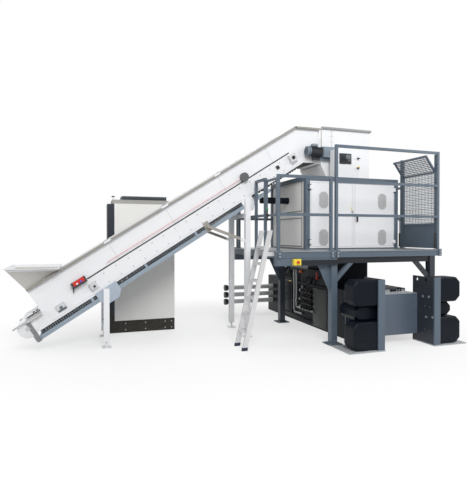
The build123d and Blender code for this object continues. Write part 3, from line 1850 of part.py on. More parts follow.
with BuildPart() as cabinet_door:
    door_front = cab_back + cab_door_gap
    door_back = door_front + cab_door_thick
    handle_low = cab_plinth + cab_height / 2
    block(
        (cab_left + cab_door_gap, door_front, cab_plinth + cab_door_gap),
        (cab_right - cab_door_gap, door_back, cab_top - cab_door_gap),
    )
    block(
        (cab_left + cab_edge, door_back, handle_low),
        (cab_left + cab_edge + cab_handle_width, door_back + cab_handle_depth, handle_low + cab_handle_length),
    )
    for z, towards in ((cab_plinth, 1), (cab_top, -1)):
        rod(
            (cab_pin_x, cab_pin_y, z),
            (0, 0, towards),
            cab_pin_r + running_gap,
            2 * cab_door_gap + cab_pin_length,
            Mode.SUBTRACT,
        )
save(cabinet_door, "cabinet_door")
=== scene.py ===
"""Looks of the shredder and baler line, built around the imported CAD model."""

import json
from math import cos, pi, radians, sin

import bmesh
import bpy
from mathutils import Matrix, Vector


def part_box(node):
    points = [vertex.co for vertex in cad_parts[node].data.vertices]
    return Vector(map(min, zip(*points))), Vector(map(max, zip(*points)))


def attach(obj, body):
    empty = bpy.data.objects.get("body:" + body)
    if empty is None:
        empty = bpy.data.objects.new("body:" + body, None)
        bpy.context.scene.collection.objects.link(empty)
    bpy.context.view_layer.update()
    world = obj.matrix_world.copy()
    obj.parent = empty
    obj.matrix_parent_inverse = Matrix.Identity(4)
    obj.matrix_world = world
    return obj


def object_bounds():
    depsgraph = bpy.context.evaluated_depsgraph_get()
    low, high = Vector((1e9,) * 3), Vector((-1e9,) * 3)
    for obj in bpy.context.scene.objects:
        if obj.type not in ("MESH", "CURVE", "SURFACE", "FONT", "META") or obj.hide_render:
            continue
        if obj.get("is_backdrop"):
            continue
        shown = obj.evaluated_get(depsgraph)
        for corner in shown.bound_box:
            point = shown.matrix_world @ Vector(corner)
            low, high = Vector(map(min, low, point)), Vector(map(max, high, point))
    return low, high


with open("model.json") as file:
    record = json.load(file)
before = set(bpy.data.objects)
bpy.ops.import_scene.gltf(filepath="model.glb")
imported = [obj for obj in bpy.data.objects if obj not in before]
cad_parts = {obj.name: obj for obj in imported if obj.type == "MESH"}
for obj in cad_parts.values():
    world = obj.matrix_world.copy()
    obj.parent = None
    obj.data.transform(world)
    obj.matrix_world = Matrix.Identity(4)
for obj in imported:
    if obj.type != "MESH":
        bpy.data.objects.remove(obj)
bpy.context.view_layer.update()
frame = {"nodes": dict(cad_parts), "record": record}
nodes = frame["nodes"]
scene = bpy.context.scene
scene.view_settings.view_transform = "Standard"

# The conveyor's slope and its foot in the row frame
SLOPE = radians(32)
FOOT = Vector((-5.030, 0.0, 0.269))

# Camera fitted to the photograph
CAMERA_PLACE = (-4.447, -6.76, 1.62)
CAMERA_YAW = 18.73
CAMERA_PITCH = -0.61
CAMERA_LENS = 33.7
camera_data = bpy.data.cameras.new("camera")
camera_data.lens = CAMERA_LENS
camera_data.sensor_width = 36.0
camera_data.sensor_fit = "AUTO"
camera_data.clip_end = 200.0
camera = bpy.data.objects.new("camera", camera_data)
camera.location = CAMERA_PLACE
camera.rotation_euler = (radians(90 + CAMERA_PITCH), 0, radians(-CAMERA_YAW))
scene.collection.objects.link(camera)
scene.camera = camera


class Tree:
    """Short calls for making one node tree."""

    def __init__(self, tree):
        self.tree = tree

    def node(self, kind, **values):
        """A new node with its settings and socket values."""
        made = self.tree.nodes.new(kind)
        for key, value in values.items():
            if hasattr(made, key):
                setattr(made, key, value)
            else:
                made.inputs[key].default_value = value
        return made

    def link(self, source, target):
        self.tree.links.new(source, target)

    def math(self, operation, first, second):
        """One sum or comparison. A number goes on the socket, anything else is linked."""
        made = self.tree.nodes.new("ShaderNodeMath")
        made.operation = operation
        for socket, value in zip(made.inputs, (first, second)):
            if isinstance(value, (int, float)):
                socket.default_value = value
            else:
                self.link(value, socket)
        return made.outputs[0]

    def mix(self, factor, first, second, blend="MIX"):
        """A mix of two colours, through the colour sockets of the mix node."""
        made = self.tree.nodes.new("ShaderNodeMix")
        made.data_type = "RGBA"
        made.blend_type = blend
        sockets = made.inputs[0], made.inputs[6], made.inputs[7]
        for socket, value in zip(sockets, (factor, first, second)):
            if isinstance(value, (int, float)):
                socket.default_value = value
            elif isinstance(value, tuple):
                socket.default_value = (*value, 1)
            else:
                self.link(value, socket)
        return made.outputs[2]

    def span(self, value, low, high, to_low=0.0, to_high=1.0, smooth=False):
        """A value's range mapped to another range and held at its ends."""
        made = self.tree.nodes.new("ShaderNodeMapRange")
        made.interpolation_type = "SMOOTHSTEP" if smooth else "LINEAR"
        self.link(value, made.inputs[0])
        for socket, number in zip(made.inputs[1:5], (low, high, to_low, to_high)):
            socket.default_value = number
        return made.outputs[0]

    def noise(self, coords, scale, detail, stretch=None):
        """A noise value, scaled axis by axis where a stretch is given."""
        if stretch:
            mapping = self.node("ShaderNodeMapping")
            mapping.inputs["Scale"].default_value = stretch
            self.link(coords, mapping.inputs["Vector"])
            coords = mapping.outputs[0]
        made = self.node("ShaderNodeTexNoise", Scale=scale, Detail=detail)
        self.link(coords, made.inputs["Vector"])
        return made.outputs["Fac"]


def new_material(name):
    """A material with a principled shader, and the object's coordinates for its patterns."""
    made = bpy.data.materials.new(name)
    made.use_nodes = True
    made.node_tree.nodes.clear()
    tree = Tree(made.node_tree)
    output = tree.node("ShaderNodeOutputMaterial")
    bsdf = tree.node("ShaderNodeBsdfPrincipled")
    tree.link(bsdf.outputs[0], output.inputs[0])
    coords = tree.node("ShaderNodeTexCoord").outputs["Object"]
    return made, tree, bsdf, coords


# Noise scales per metre and their detail, and what settles on a surface
BROAD_SCALE, BROAD_DETAIL, BROAD_SHARE = 1.7, 4.0, 0.6
FINE_SCALE, FINE_DETAIL, FINE_SHARE = 26.0, 5.0, 0.4
PEEL_SCALE, PEEL_DETAIL, PEEL_DEPTH = 240.0, 2.0, 0.0015
SCUFF_SCALE, SCUFF_DETAIL, SCUFF_STRETCH = 9.0, 9.0, (1.0, 1.0, 3.0)
SCUFF_LIMITS, SCUFF_COLOUR = (0.66, 0.74), (0.42, 0.42, 0.4)
DUST_COLOUR, DUST_TOP, DUST_LIMITS = (0.36, 0.35, 0.33), 0.45, (0.3, 0.75)
MOTTLE_LIMITS = (0.3, 0.7)
GLOSS_LIMITS, GLOSS_SPREAD, LEAST_ROUGHNESS, COAT_ROUGHNESS = (0.25, 0.75), 0.09, 0.05, 0.2


def finish_surface(
    name, colour, rough, metal=0.0, spread=0.06, peel=0.15, grain=None, dust=0.0, zones=(), coat=0.0,
    scuff=0.0, shine=0.5, sloped=False,
):
    """A painted, plastic or metal surface: mottled colour, worn gloss, fine bump, dust near the floor.
    zones are (low corner, high corner, colour) boxes that take another colour, in the row frame or,
    where sloped is set, along the conveyor's slope."""
    made, tree, bsdf, coords = new_material(name)
    broad = tree.noise(coords, BROAD_SCALE, BROAD_DETAIL)
    fine = tree.noise(coords, FINE_SCALE, FINE_DETAIL, grain)
    base = colour
    if zones:
        parts = tree.node("ShaderNodeSeparateXYZ")
        if sloped:
            shift = tree.node("ShaderNodeVectorMath", operation="SUBTRACT")
            tree.link(coords, shift.inputs[0])
            shift.inputs[1].default_value = FOOT
            turn = tree.node("ShaderNodeMapping")
            turn.inputs["Rotation"].default_value = (0, SLOPE, 0)
            tree.link(shift.outputs[0], turn.inputs["Vector"])
            tree.link(turn.outputs[0], parts.inputs[0])
        else:
            tree.link(coords, parts.inputs[0])
        for low, high, zone_colour in zones:
            inside = None
            for axis in range(3):
                above = tree.math("GREATER_THAN", parts.outputs[axis], low[axis])
                below = tree.math("LESS_THAN", parts.outputs[axis], high[axis])
                both = tree.math("MULTIPLY", above, below)
                inside = both if inside is None else tree.math("MULTIPLY", inside, both)
            base = tree.mix(inside, base, zone_colour)
    broad_part = tree.math("MULTIPLY", broad, BROAD_SHARE)
    fine_part = tree.math("MULTIPLY", fine, FINE_SHARE)
    mottle = tree.math("ADD", broad_part, fine_part)
    level = tree.span(mottle, *MOTTLE_LIMITS, 1.0 - spread, 1.0 + spread)
    grey = tree.node("ShaderNodeCombineColor")
    for socket in grey.inputs:
        tree.link(level, socket)
    tinted = tree.mix(1.0, base, grey.outputs[0], "MULTIPLY")
    if scuff:
        marks = tree.noise(coords, SCUFF_SCALE, SCUFF_DETAIL, SCUFF_STRETCH)
        marked = tree.span(marks, *SCUFF_LIMITS, 0.0, scuff, True)
        tinted = tree.mix(marked, tinted, SCUFF_COLOUR)
    if dust:
        place = tree.node("ShaderNodeNewGeometry").outputs["Position"]
        height = tree.node("ShaderNodeSeparateXYZ")
        tree.link(place, height.inputs[0])
        low_part = tree.span(height.outputs[2], 0.0, DUST_TOP, dust, 0.0, True)
        dusty = tree.math("MULTIPLY", low_part, tree.span(fine, *DUST_LIMITS))
        tinted = tree.mix(dusty, tinted, DUST_COLOUR)
    tree.link(tinted, bsdf.inputs["Base Color"])
    smoothest, roughest = max(LEAST_ROUGHNESS, rough - GLOSS_SPREAD), min(1.0, rough + GLOSS_SPREAD)
    tree.link(tree.span(fine, *GLOSS_LIMITS, smoothest, roughest), bsdf.inputs["Roughness"])
    bsdf.inputs["Metallic"].default_value = metal
    bsdf.inputs["Specular IOR Level"].default_value = shine
    bsdf.inputs["Coat Weight"].default_value = coat
    bsdf.inputs["Coat Roughness"].default_value = COAT_ROUGHNESS
    bump = tree.node("ShaderNodeBump", Strength=peel, Distance=PEEL_DEPTH)
    tree.link(tree.noise(coords, PEEL_SCALE, PEEL_DETAIL, grain), bump.inputs["Height"])
    tree.link(bump.outputs[0], bsdf.inputs["Normal"])
    return made


# Colours of paint, plastic and metal
WHITE = (0.80, 0.81, 0.83)
BLUE_GRAY = (0.095, 0.128, 0.166)
BOX_GRAY = (0.095, 0.125, 0.168)
BEIGE = (0.82, 0.815, 0.79)
BLACK = (0.010, 0.011, 0.013)
# NAVY_BLACK is also painted shade on the beams under the deck.
NAVY_BLACK = (0.004, 0.0068, 0.012)
# SLATE is also painted shade on the column webs, the right legs and most knee braces.
SLATE = (0.028, 0.035, 0.046)
PALE_STEEL = (0.42, 0.44, 0.46)
STEEL = (0.56, 0.56, 0.56)
RED = (0.62, 0.02, 0.015)
YELLOW = (0.86, 0.68, 0.05)
# A darker blue-gray as painted shade on the far left leg.
FAR_LEG_SHADE = (0.05, 0.065, 0.085)
MOTOR_BLACK = (0.045, 0.050, 0.058)
GEAR_BLUE = (0.20, 0.25, 0.30)
TERMINAL_BLUE = (0.24, 0.29, 0.34)
SADDLE_BLUE = (0.40, 0.46, 0.54)
BRACE_GRAY = (0.34, 0.32, 0.29)
ROOF_GRAY = (0.36, 0.35, 0.335)
COOLER_BLUE = (0.085, 0.105, 0.13)
CASE_BLACK = (0.03, 0.031, 0.034)
BOX_WHITE = (0.62, 0.63, 0.64)
ISOLATOR_GRAY = (0.10, 0.105, 0.11)

# A look for each of the record's material slots
looks = {
    "white": finish_surface("white_paint", WHITE, 0.42, spread=0.025, peel=0.12, dust=0.25),
    "blue_gray": finish_surface("blue_gray_paint", BLUE_GRAY, 0.4, spread=0.07, dust=0.15, scuff=0.12),
    "beige": finish_surface("beige_paint", BEIGE, 0.5, spread=0.035, dust=0.2),
    "black_paint": finish_surface(
        "black_paint", NAVY_BLACK, 0.38, spread=0.15, dust=0.03, scuff=0.01, shine=0.13,
    ),
    "box_gray": finish_surface("box_paint", BOX_GRAY, 0.36, spread=0.07, dust=0.12, scuff=0.08),
    "motor_gray": finish_surface("motor_paint", (0.14, 0.165, 0.19), 0.45, spread=0.1, peel=0.3),
    "deck": finish_surface("deck_plate", (0.40, 0.41, 0.42), 0.45, 0.85, spread=0.12, peel=0.3),
    "steel": finish_surface("bare_steel", STEEL, 0.34, 1.0, spread=0.1, peel=0.2, grain=(1, 14, 1)),
    "aluminium": finish_surface("ladder_metal", (0.72, 0.72, 0.73), 0.36, 0.55, spread=0.04, grain=(8, 8, 1)),
    "blue_plastic": finish_surface("blue_caps", (0.012, 0.018, 0.045), 0.45, spread=0.06, peel=0.3),
    "black_plastic": finish_surface("black_moulded", BLACK, 0.5, spread=0.12, peel=0.35),
    "gray_plastic": finish_surface("gray_moulded", (0.30, 0.32, 0.34), 0.5, spread=0.06, peel=0.35),
    "yellow_plastic": finish_surface("yellow_moulded", YELLOW, 0.42, spread=0.04, peel=0.3),
    "red_plastic": finish_surface("red_moulded", RED, 0.3, spread=0.05, coat=0.3),
    "white_plastic": finish_surface("white_moulded", (0.85, 0.85, 0.85), 0.35, spread=0.03),
    "blue_button": finish_surface("blue_moulded", (0.03, 0.12, 0.62), 0.3, spread=0.04, coat=0.3),
    "belt_rubber": finish_surface("belt_rubber", (0.05, 0.055, 0.06), 0.75, spread=0.2, peel=0.6, dust=0.2),
}
# Nodes with a look of their own, most of them with zones of another colour
node_looks = {
    "tying_columns": finish_surface("column_paint_painted_shade", BLUE_GRAY, 0.4, spread=0.06, scuff=0.08, zones=(
        # The webs take a darker slate: painted shade on the columns' side faces.
        ((-0.452, -1.4875, 0.02), (-0.42, -1.04, 1.1), SLATE),
        ((0.42, -1.4875, 0.02), (0.452, -1.04, 1.1), SLATE),
        ((-1.2, -1.6, -0.1), (1.2, -1.0, 0.0152), PALE_STEEL),
    )),
    "bale_box": finish_surface("bale_box_paint", BOX_GRAY, 0.36, spread=0.07, dust=0.1, scuff=0.08, zones=(
        ((-0.7, -1.2, 0.735), (0.7, -0.6, 0.745), PALE_STEEL),
        ((-0.7, -1.2, 0.745), (0.7, -0.6, 0.9), NAVY_BLACK),
    )),
    "cantilever_beams": finish_surface("beam_paint_painted_shade", BLUE_GRAY, 0.4, spread=0.06, scuff=0.08, zones=(
        # Near black under the deck, all but the left end: painted shade beneath the deck.
        ((-1.461, -1.0, 1.18), (-0.851, -0.951, 1.27), NAVY_BLACK),
        ((-0.86, -1.0, 1.195), (0.86, 1.0, 1.292), NAVY_BLACK),
    )),
    "platform_legs": finish_surface("leg_paint_painted_shade", BLUE_GRAY, 0.4, spread=0.06, scuff=0.1, dust=0.1, zones=(
        # The right legs and the far left leg are darker: painted shade.
        ((0.6, -1.1, 0.02), (1.1, 1.1, 1.3), SLATE),
        ((-1.1, 0.7, 0.02), (0.0, 1.1, 1.3), FAR_LEG_SHADE),
    )),
    "knee_braces": finish_surface("brace_paint_painted_shade", BLUE_GRAY, 0.4, spread=0.06, scuff=0.08, zones=(
        # All braces but the front left one are darker slate: painted shade.
        ((0.1, -1.1, 0.8), (1.1, 1.1, 1.3), SLATE),
        ((-1.1, 0.0, 0.8), (0.1, 1.1, 1.3), SLATE),
    )),
    "wire_spools": finish_surface("spool_paint", (0.82, 0.83, 0.83), 0.4, spread=0.05, zones=(
        ((-1.8, 1.8, 0.0), (-1.46, 2.4, 0.8), BLACK),
    )),
    "hydraulic_pipes": finish_surface("pipe_zinc", (0.36, 0.38, 0.38), 0.35, 0.6, spread=0.08),
    "conveyor_guard": finish_surface("guard_tray", (0.27, 0.33, 0.39), 0.45, spread=0.07),
    "control_box": finish_surface("control_case", CASE_BLACK, 0.45, spread=0.08, sloped=True, zones=(
        ((0.750, -0.2, 0.270), (0.918, -0.03, 0.4), RED),
    )),
    # The hopper below its white rim is a darker beige: painted shade on its walls.
    "feed_hopper": finish_surface("hopper_sheet_painted_shade", (0.56, 0.545, 0.515), 0.45, spread=0.04, zones=(
        ((-6.0, -1.0, 1.128), (-4.0, 2.0, 1.4), WHITE),
    )),
    "cabinet_base": finish_surface(
        "plinth_paint", (0.017, 0.0145, 0.010), 0.4, spread=0.15, dust=0.1, shine=0.3, zones=(
            ((-4.2, 0.8, 0.30), (-3.915, 1.5, 2.2), SLATE),
        ),
    ),
    "cabinet_body": finish_surface("cabinet_paint", BEIGE, 0.5, spread=0.035, dust=0.15, zones=(
        ((-4.2, 0.8, 2.1425), (-2.8, 1.5, 2.2095), ROOF_GRAY),
        ((-4.2, 0.8, 2.2095), (-2.8, 1.5, 2.4), COOLER_BLUE),
    )),
    "conveyor_motor": finish_surface("gear_motor", MOTOR_BLACK, 0.4, spread=0.1, peel=0.3, zones=(
        ((-0.640, -0.3, 2.8), (-0.40, 0.1, 3.3), GEAR_BLUE),
        ((-0.92, -0.3, 2.8), (-0.845, 0.1, 3.3), GEAR_BLUE),
        ((-0.85, -0.3, 3.105), (-0.64, 0.1, 3.3), TERMINAL_BLUE),
    )),
    "conveyor_supports": finish_surface("support_paint", WHITE, 0.42, spread=0.025, dust=0.2, zones=(
        ((-4.40, -0.0085, 0.40), (-3.60, 0.001, 1.10), SADDLE_BLUE),
        ((-3.4, -0.2, 1.2), (-2.05, 0.9, 2.2), BRACE_GRAY),
    )),
    "panel_stop_button": finish_surface("palm_button", BLACK, 0.4, spread=0.08, zones=(
        ((-0.3, -0.5, 2.742), (0.1, -0.3, 2.8), YELLOW),
    )),
    "conveyor_boxes": finish_surface("switch_boxes", BOX_WHITE, 0.42, spread=0.05, sloped=True, zones=(
        ((3.6, -0.2, 0.0), (4.0, 0.1, 0.5), ISOLATOR_GRAY),
    )),
}
for row in frame["record"]["subparts"]:
    thing = nodes[row["node"]]
    thing.data.materials.clear()
    thing.data.materials.append(node_looks.get(row["node"], looks[row["material_slot"]]))

# The moulded covers have full round edges
COVER_ROUNDING, COVER_SEGMENTS, COVER_ANGLE, MERGE_DISTANCE = 0.045, 5, radians(25), 0.0002
welded = nodes["tying_covers"].modifiers.new("welded", "WELD")
welded.merge_threshold = MERGE_DISTANCE
rounding = nodes["tying_covers"].modifiers.new("rounding", "BEVEL")
rounding.width = COVER_ROUNDING
rounding.segments = COVER_SEGMENTS
rounding.limit_method = "ANGLE"
rounding.angle_limit = COVER_ANGLE

# How far a piece reaches into what carries it, and from which angle on an edge is sharp
SUNK = 0.002
SHARP_ANGLE = radians(35)

# Sizes of a washer and a bolt head, as shares of the bolt's radius
WASHER_R, WASHER_TOP = 1.35, 0.25
HEAD_START, HEAD_TOP, HEAD_TAPER = 0.2, 0.95, 0.94

UP_SLOPE = Vector((cos(SLOPE), 0, sin(SLOPE)))
OFF_SLOPE = Vector((-sin(SLOPE), 0, cos(SLOPE)))


def on_slope(u, v, y):
    """A point given along the conveyor's slope, square to it, and across."""
    return FOOT + UP_SLOPE * u + OFF_SLOPE * v + Vector((0, y, 0))


class Piece:
    """One mesh piece put together from simple solids."""

    def __init__(self):
        self.mesh = bmesh.new()

    def box(self, low, high, sloped=False):
        """A box between two corners, in the row frame or, where sloped is set, along the slope."""
        low, high = Vector(low), Vector(high)
        corners = bmesh.ops.create_cube(self.mesh, size=1.0)["verts"]
        for corner in corners:
            spot = Vector(low[i] if corner.co[i] < 0 else high[i] for i in range(3))
            corner.co = on_slope(spot.x, spot.z, spot.y) if sloped else spot

    def rod(self, start, end, radius, sides=16, end_radius=None):
        """A round or many-sided rod, tapered where it has an end radius."""
        start, end = Vector(start), Vector(end)
        run = end - start
        turn = run.to_track_quat("Z", "Y").to_matrix().to_4x4()
        place = Matrix.Translation((start + end) / 2) @ turn
        bmesh.ops.create_cone(
            self.mesh, cap_ends=True, segments=sides, radius1=radius,
            radius2=radius if end_radius is None else end_radius, depth=run.length, matrix=place,
        )

    def bolt(self, place, outward, radius):
        """A washer with a hexagon head on it."""
        place, outward = Vector(place), Vector(outward).normalized()
        out = outward * radius
        self.rod(place - outward * SUNK, place + out * WASHER_TOP, radius * WASHER_R, 20)
        self.rod(place + out * HEAD_START, place + out * HEAD_TOP, radius, 6, radius * HEAD_TAPER)

    def bars_round(self, low, high, width, near, far):
        """Four bars just inside an upright rectangle, which is given by two corners in x and z."""
        (left, bottom), (right, top) = low, high
        for bar_low, bar_high in (
            ((left, bottom), (right, bottom + width)),
            ((left, top - width), (right, top)),
            ((left, bottom), (left + width, top)),
            ((right - width, bottom), (right, top)),
        ):
            self.box((bar_low[0], near, bar_low[1]), (bar_high[0], far, bar_high[1]))

    def ring(self, centre, axis, radius, thickness, steps, sides=8, start=0.0, sweep=2 * pi):
        """A round bar bent to a ring or part of one."""
        turn = Vector(axis).to_track_quat("Z", "Y").to_matrix()
        closed = abs(sweep - 2 * pi) < 1e-6
        rows = []
        for step in range(steps if closed else steps + 1):
            angle = start + sweep * step / steps
            row = []
            for side in range(sides):
                bend = 2 * pi * side / sides
                reach = radius + thickness * cos(bend)
                spot = Vector((reach * cos(angle), reach * sin(angle), thickness * sin(bend)))
                row.append(Vector(centre) + turn @ spot)
            rows.append(row)
        self.band(rows, closed)

    def band(self, rows, closed):
        """A solid through a row of cross-sections, each a list of points."""
        rows = [[self.mesh.verts.new(Vector(p)) for p in row] for row in rows]
        count, sides = len(rows), len(rows[0])
        for index in range(count if closed else count - 1):
            first, second = rows[index], rows[(index + 1) % count]
            for side in range(sides):
                after = (side + 1) % sides
                self.mesh.faces.new((first[side], first[after], second[after], second[side]))
        if not closed:
            self.mesh.faces.new(rows[0])
            self.mesh.faces.new(list(reversed(rows[-1])))

    def plate(self, points, shift):
        """A flat outline given as points, thickened by a shift."""
        front = [self.mesh.verts.new(Vector(p)) for p in points]
        back = [self.mesh.verts.new(Vector(p) + Vector(shift)) for p in points]
        self.mesh.faces.new(front)
        self.mesh.faces.new(list(reversed(back)))
        count = len(points)
        for index in range(count):
            after = (index + 1) % count
            self.mesh.faces.new((front[after], front[index], back[index], back[after]))

    def done(self, name, look, body="line_frame", slot=None, bevel=0.0):
        """Makes the object, with its look, edges, and the body that it rides on."""
        bmesh.ops.recalc_face_normals(self.mesh, faces=self.mesh.faces)
        data = bpy.data.meshes.new(name)
        self.mesh.to_mesh(data)
        self.mesh.free()
        data.materials.append(look)
        thing = bpy.data.objects.new(name, data)
        scene.collection.objects.link(thing)
        if bevel:
            edge = thing.modifiers.new("edges", "BEVEL")
            edge.width = bevel
            edge.segments = 2
            edge.limit_method = "ANGLE"
        data.shade_smooth()
        split = thing.modifiers.new("split", "EDGE_SPLIT")
        split.split_angle = SHARP_ANGLE
        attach(thing, body)


# Looks of the small pieces
# The rim edge is a gray darker than the white conveyor: painted shade under the folded rim.
RIM_SHADE_GRAY = finish_surface("rim_edge", (0.30, 0.285, 0.26), 0.45, 0.2, spread=0.06)
SEAL_BLACK = finish_surface("seal_rubber", (0.014, 0.014, 0.015), 0.7, spread=0.1)
JOINT_GRAY = finish_surface("joint_line", (0.58, 0.585, 0.60), 0.5, spread=0.04)
END_GRAY = finish_surface("end_plate_gray", (0.24, 0.245, 0.25), 0.42, 0.6, spread=0.1)
SEAM_GRAY = finish_surface("sheet_edge", (0.42, 0.43, 0.45), 0.5, spread=0.04)
VENT_GRAY = finish_surface("vent_plate", (0.56, 0.565, 0.57), 0.5, 0.1, spread=0.06)
VENT_HOLE = finish_surface("vent_holes", (0.20, 0.20, 0.205), 0.8, spread=0.1)
MESH_WIRE = finish_surface("mesh_wire", (0.15, 0.18, 0.215), 0.42, 0.3, spread=0.08)
FIN_BLACK = finish_surface("fin_paint", MOTOR_BLACK, 0.4, spread=0.1)
PANEL_GREEN = finish_surface("access_panel", (0.020, 0.024, 0.022), 0.42, spread=0.12, scuff=0.05)
VALVE_BLACK = finish_surface("valve_black", (0.014, 0.015, 0.016), 0.3, 0.3, spread=0.2)
ORANGE = finish_surface("lamp_orange", (0.85, 0.16, 0.02), 0.25, spread=0.04, coat=0.4)
HOOD_EDGE = finish_surface("hood_edge", (0.30, 0.30, 0.315), 0.45, 0.2, spread=0.05)
HOOD_FOLD = finish_surface("hood_fold", (0.47, 0.46, 0.43), 0.5, spread=0.05)
TRIM_BROWN = finish_surface("panel_trim", (0.17, 0.165, 0.145), 0.5, spread=0.06)
CHAIN_STEEL = finish_surface("chain_steel", (0.20, 0.22, 0.24), 0.4, 0.6, spread=0.1)
GREEN = finish_surface("green_moulded", (0.02, 0.28, 0.10), 0.35, spread=0.05)
ZINC = finish_surface("zinc_fixings", (0.50, 0.50, 0.49), 0.36, 0.9, spread=0.1)
DARK_FIXING = finish_surface("black_fixings", (0.03, 0.03, 0.033), 0.42, 0.4, spread=0.1)

# Directions in the row frame
ALONG, LEFTWARD, TOWARD, UPWARD = (1, 0, 0), (-1, 0, 0), (0, -1, 0), (0, 0, 1)

# Conveyor: folded rim edge in a gray of painted shade, belt slot seal, sheet joints, splice plates, side
# bolts
RIM_START, RIM_END, RIM_V, RIM_Y = 0.20, 5.022, 0.577, -0.040
BEND_X, HEAD_END, RIM_Z = -1.083, -0.612, 3.416
RIM_TALL, RIM_THICK, RIM_LAP = 0.026, 0.006, 0.004
rim = Piece()
rim.box((RIM_START, RIM_Y - RIM_THICK, RIM_V - RIM_TALL), (RIM_END, RIM_Y, RIM_V + RIM_THICK), sloped=True)
rim.box((RIM_START, RIM_Y, RIM_V), (RIM_END, RIM_LAP, RIM_V + RIM_THICK), sloped=True)
head_start = BEND_X - RIM_LAP
rim.box((head_start, RIM_Y - RIM_THICK, RIM_Z - RIM_TALL), (HEAD_END, RIM_Y, RIM_Z + RIM_THICK))
rim.box((head_start, RIM_Y, RIM_Z), (HEAD_END, RIM_LAP, RIM_Z + RIM_THICK))
rim.done("conveyor_rim_edge_painted_shade", RIM_SHADE_GRAY, bevel=0.0015)

SLOT_START, SLOT_END = 0.945, 4.695
seal = Piece()
seal.box((SLOT_START, -0.003, 0.255), (SLOT_END, SUNK, 0.270), sloped=True)
seal.box((SLOT_START, -0.006, 0.268), (SLOT_END, SUNK, 0.272), sloped=True)
seal.done("belt_slot_seal", SEAL_BLACK)

JOINTS = (1.467, 2.449, 3.417, 4.363)
JOINT_HALF, JOINT_LOW, JOINT_HIGH = 0.003, 0.274, 0.573
seams = Piece()
for u in JOINTS:
    seams.box((u - JOINT_HALF, -0.0015, JOINT_LOW), (u + JOINT_HALF, 0.001, JOINT_HIGH), sloped=True)
seams.box((0.25, -0.0022, 0.026), (5.15, 0.001, 0.030), sloped=True)
seams.done("side_sheet_joints", JOINT_GRAY)

# The rim has a splice plate over each joint but the last
SPLICE_HALF, SPLICE_FACE, SPLICE_TOP = 0.055, -0.050, 0.600
splice = Piece()
for middle in JOINTS[:-1]:
    left, right = middle - SPLICE_HALF, middle + SPLICE_HALF
    splice.box((left, SPLICE_FACE, 0.560), (right, -0.038, SPLICE_TOP), sloped=True)
    splice.box((left, SPLICE_FACE, 0.590), (right, -0.006, SPLICE_TOP), sloped=True)
    for u in (middle - 0.03, middle + 0.03):
        splice.bolt(on_slope(u, 0.574, SPLICE_FACE), TOWARD, 0.008)
splice.done("rim_splice", looks["white"], slot="white", bevel=0.002)

BOLT_COUNT, BOLT_START, BOLT_PITCH, BOLT_ROWS = 18, 1.18, 0.205, (0.062, 0.205)
side_bolts = Piece()
for step in range(BOLT_COUNT):
    for v in BOLT_ROWS:
        side_bolts.bolt(on_slope(BOLT_START + BOLT_PITCH * step, v, 0.0), TOWARD, 0.007)
side_bolts.done("conveyor_side_bolts", ZINC)

# Conveyor: end plate at the foot, bearing plate, sensor plate, loop handle
PLATE_FACE, SENSOR_FACE = -0.010, -0.014
end_plate = Piece()
end_plate.box((-0.052, PLATE_FACE, -0.128), (0.004, 0.003, 0.180), sloped=True)
for v in (-0.095, 0.015, 0.145):
    end_plate.bolt(on_slope(-0.024, v, PLATE_FACE), TOWARD, 0.009)
end_plate.done("foot_end_plate", END_GRAY)

BEARING = (0.445, 0.119)
bearing = Piece()
bearing.box((0.383, PLATE_FACE, 0.067), (0.507, SUNK, 0.171), sloped=True)
for u in (0.398, 0.492):
    for v in (0.082, 0.156):
        bearing.bolt(on_slope(u, v, PLATE_FACE), TOWARD, 0.006)
for start, end, radius in ((PLATE_FACE, -0.028, 0.024), (-0.028, -0.033, 0.017)):
    bearing.rod(on_slope(*BEARING, start), on_slope(*BEARING, end), radius, 24)
bearing.done("bearing_plate", looks["motor_gray"], slot="motor_gray", bevel=0.002)

sensor = Piece()
sensor.box((4.363, SENSOR_FACE, 0.130), (4.421, SUNK, 0.190), sloped=True)
for u in (4.372, 4.412):
    sensor.bolt(on_slope(u, 0.160, SENSOR_FACE), TOWARD, 0.006)
sensor.done("sensor_plate", DARK_FIXING, bevel=0.002)

HANDLE_ENDS, HANDLE_R = ((0.700, 0.205), (0.722, 0.262)), 0.007
handle = Piece()
for end in HANDLE_ENDS:
    handle.rod(on_slope(*end, SUNK), on_slope(*end, -0.045), HANDLE_R)
handle.rod(on_slope(*HANDLE_ENDS[0], -0.042), on_slope(*HANDLE_ENDS[1], -0.042), HANDLE_R)
handle.done("loop_handle", DARK_FIXING, bevel=0.001)

# Shredder doors: vents with a raised frame over perforated plate
DOOR_FACE = -0.350
VENT_HALF, VENT_TALL, VENT_HEIGHTS = 0.088, 0.138, (1.580, 2.188)
HOLE_R, HOLE_ROWS, HOLE_COLUMNS = 0.0043, range(-11, 12), range(-6, 7)
COLUMN_PITCH = 0.0135
ROW_PITCH = COLUMN_PITCH * 0.87 * 1.12


def vent_outline(x, z, half, tall, y):
    """The outline of an upright long octagon."""
    shoulder, flat = tall - half * 0.6, half * 0.45
    corners = ((flat, tall), (half, shoulder), (half, -shoulder), (flat, -tall))
    mirrored = ((-flat, -tall), (-half, -shoulder), (-half, shoulder), (-flat, tall))
    return [(x + a, y, z + b) for a, b in corners + mirrored]


def in_vent(a, b):
    """Whether a hole at this place from the vent's middle keeps clear of its frame."""
    edge = VENT_TALL - 0.012 - max(0.0, abs(a) - VENT_HALF * 0.4) * 1.1
    return abs(a) < VENT_HALF - 0.010 and abs(b) < edge


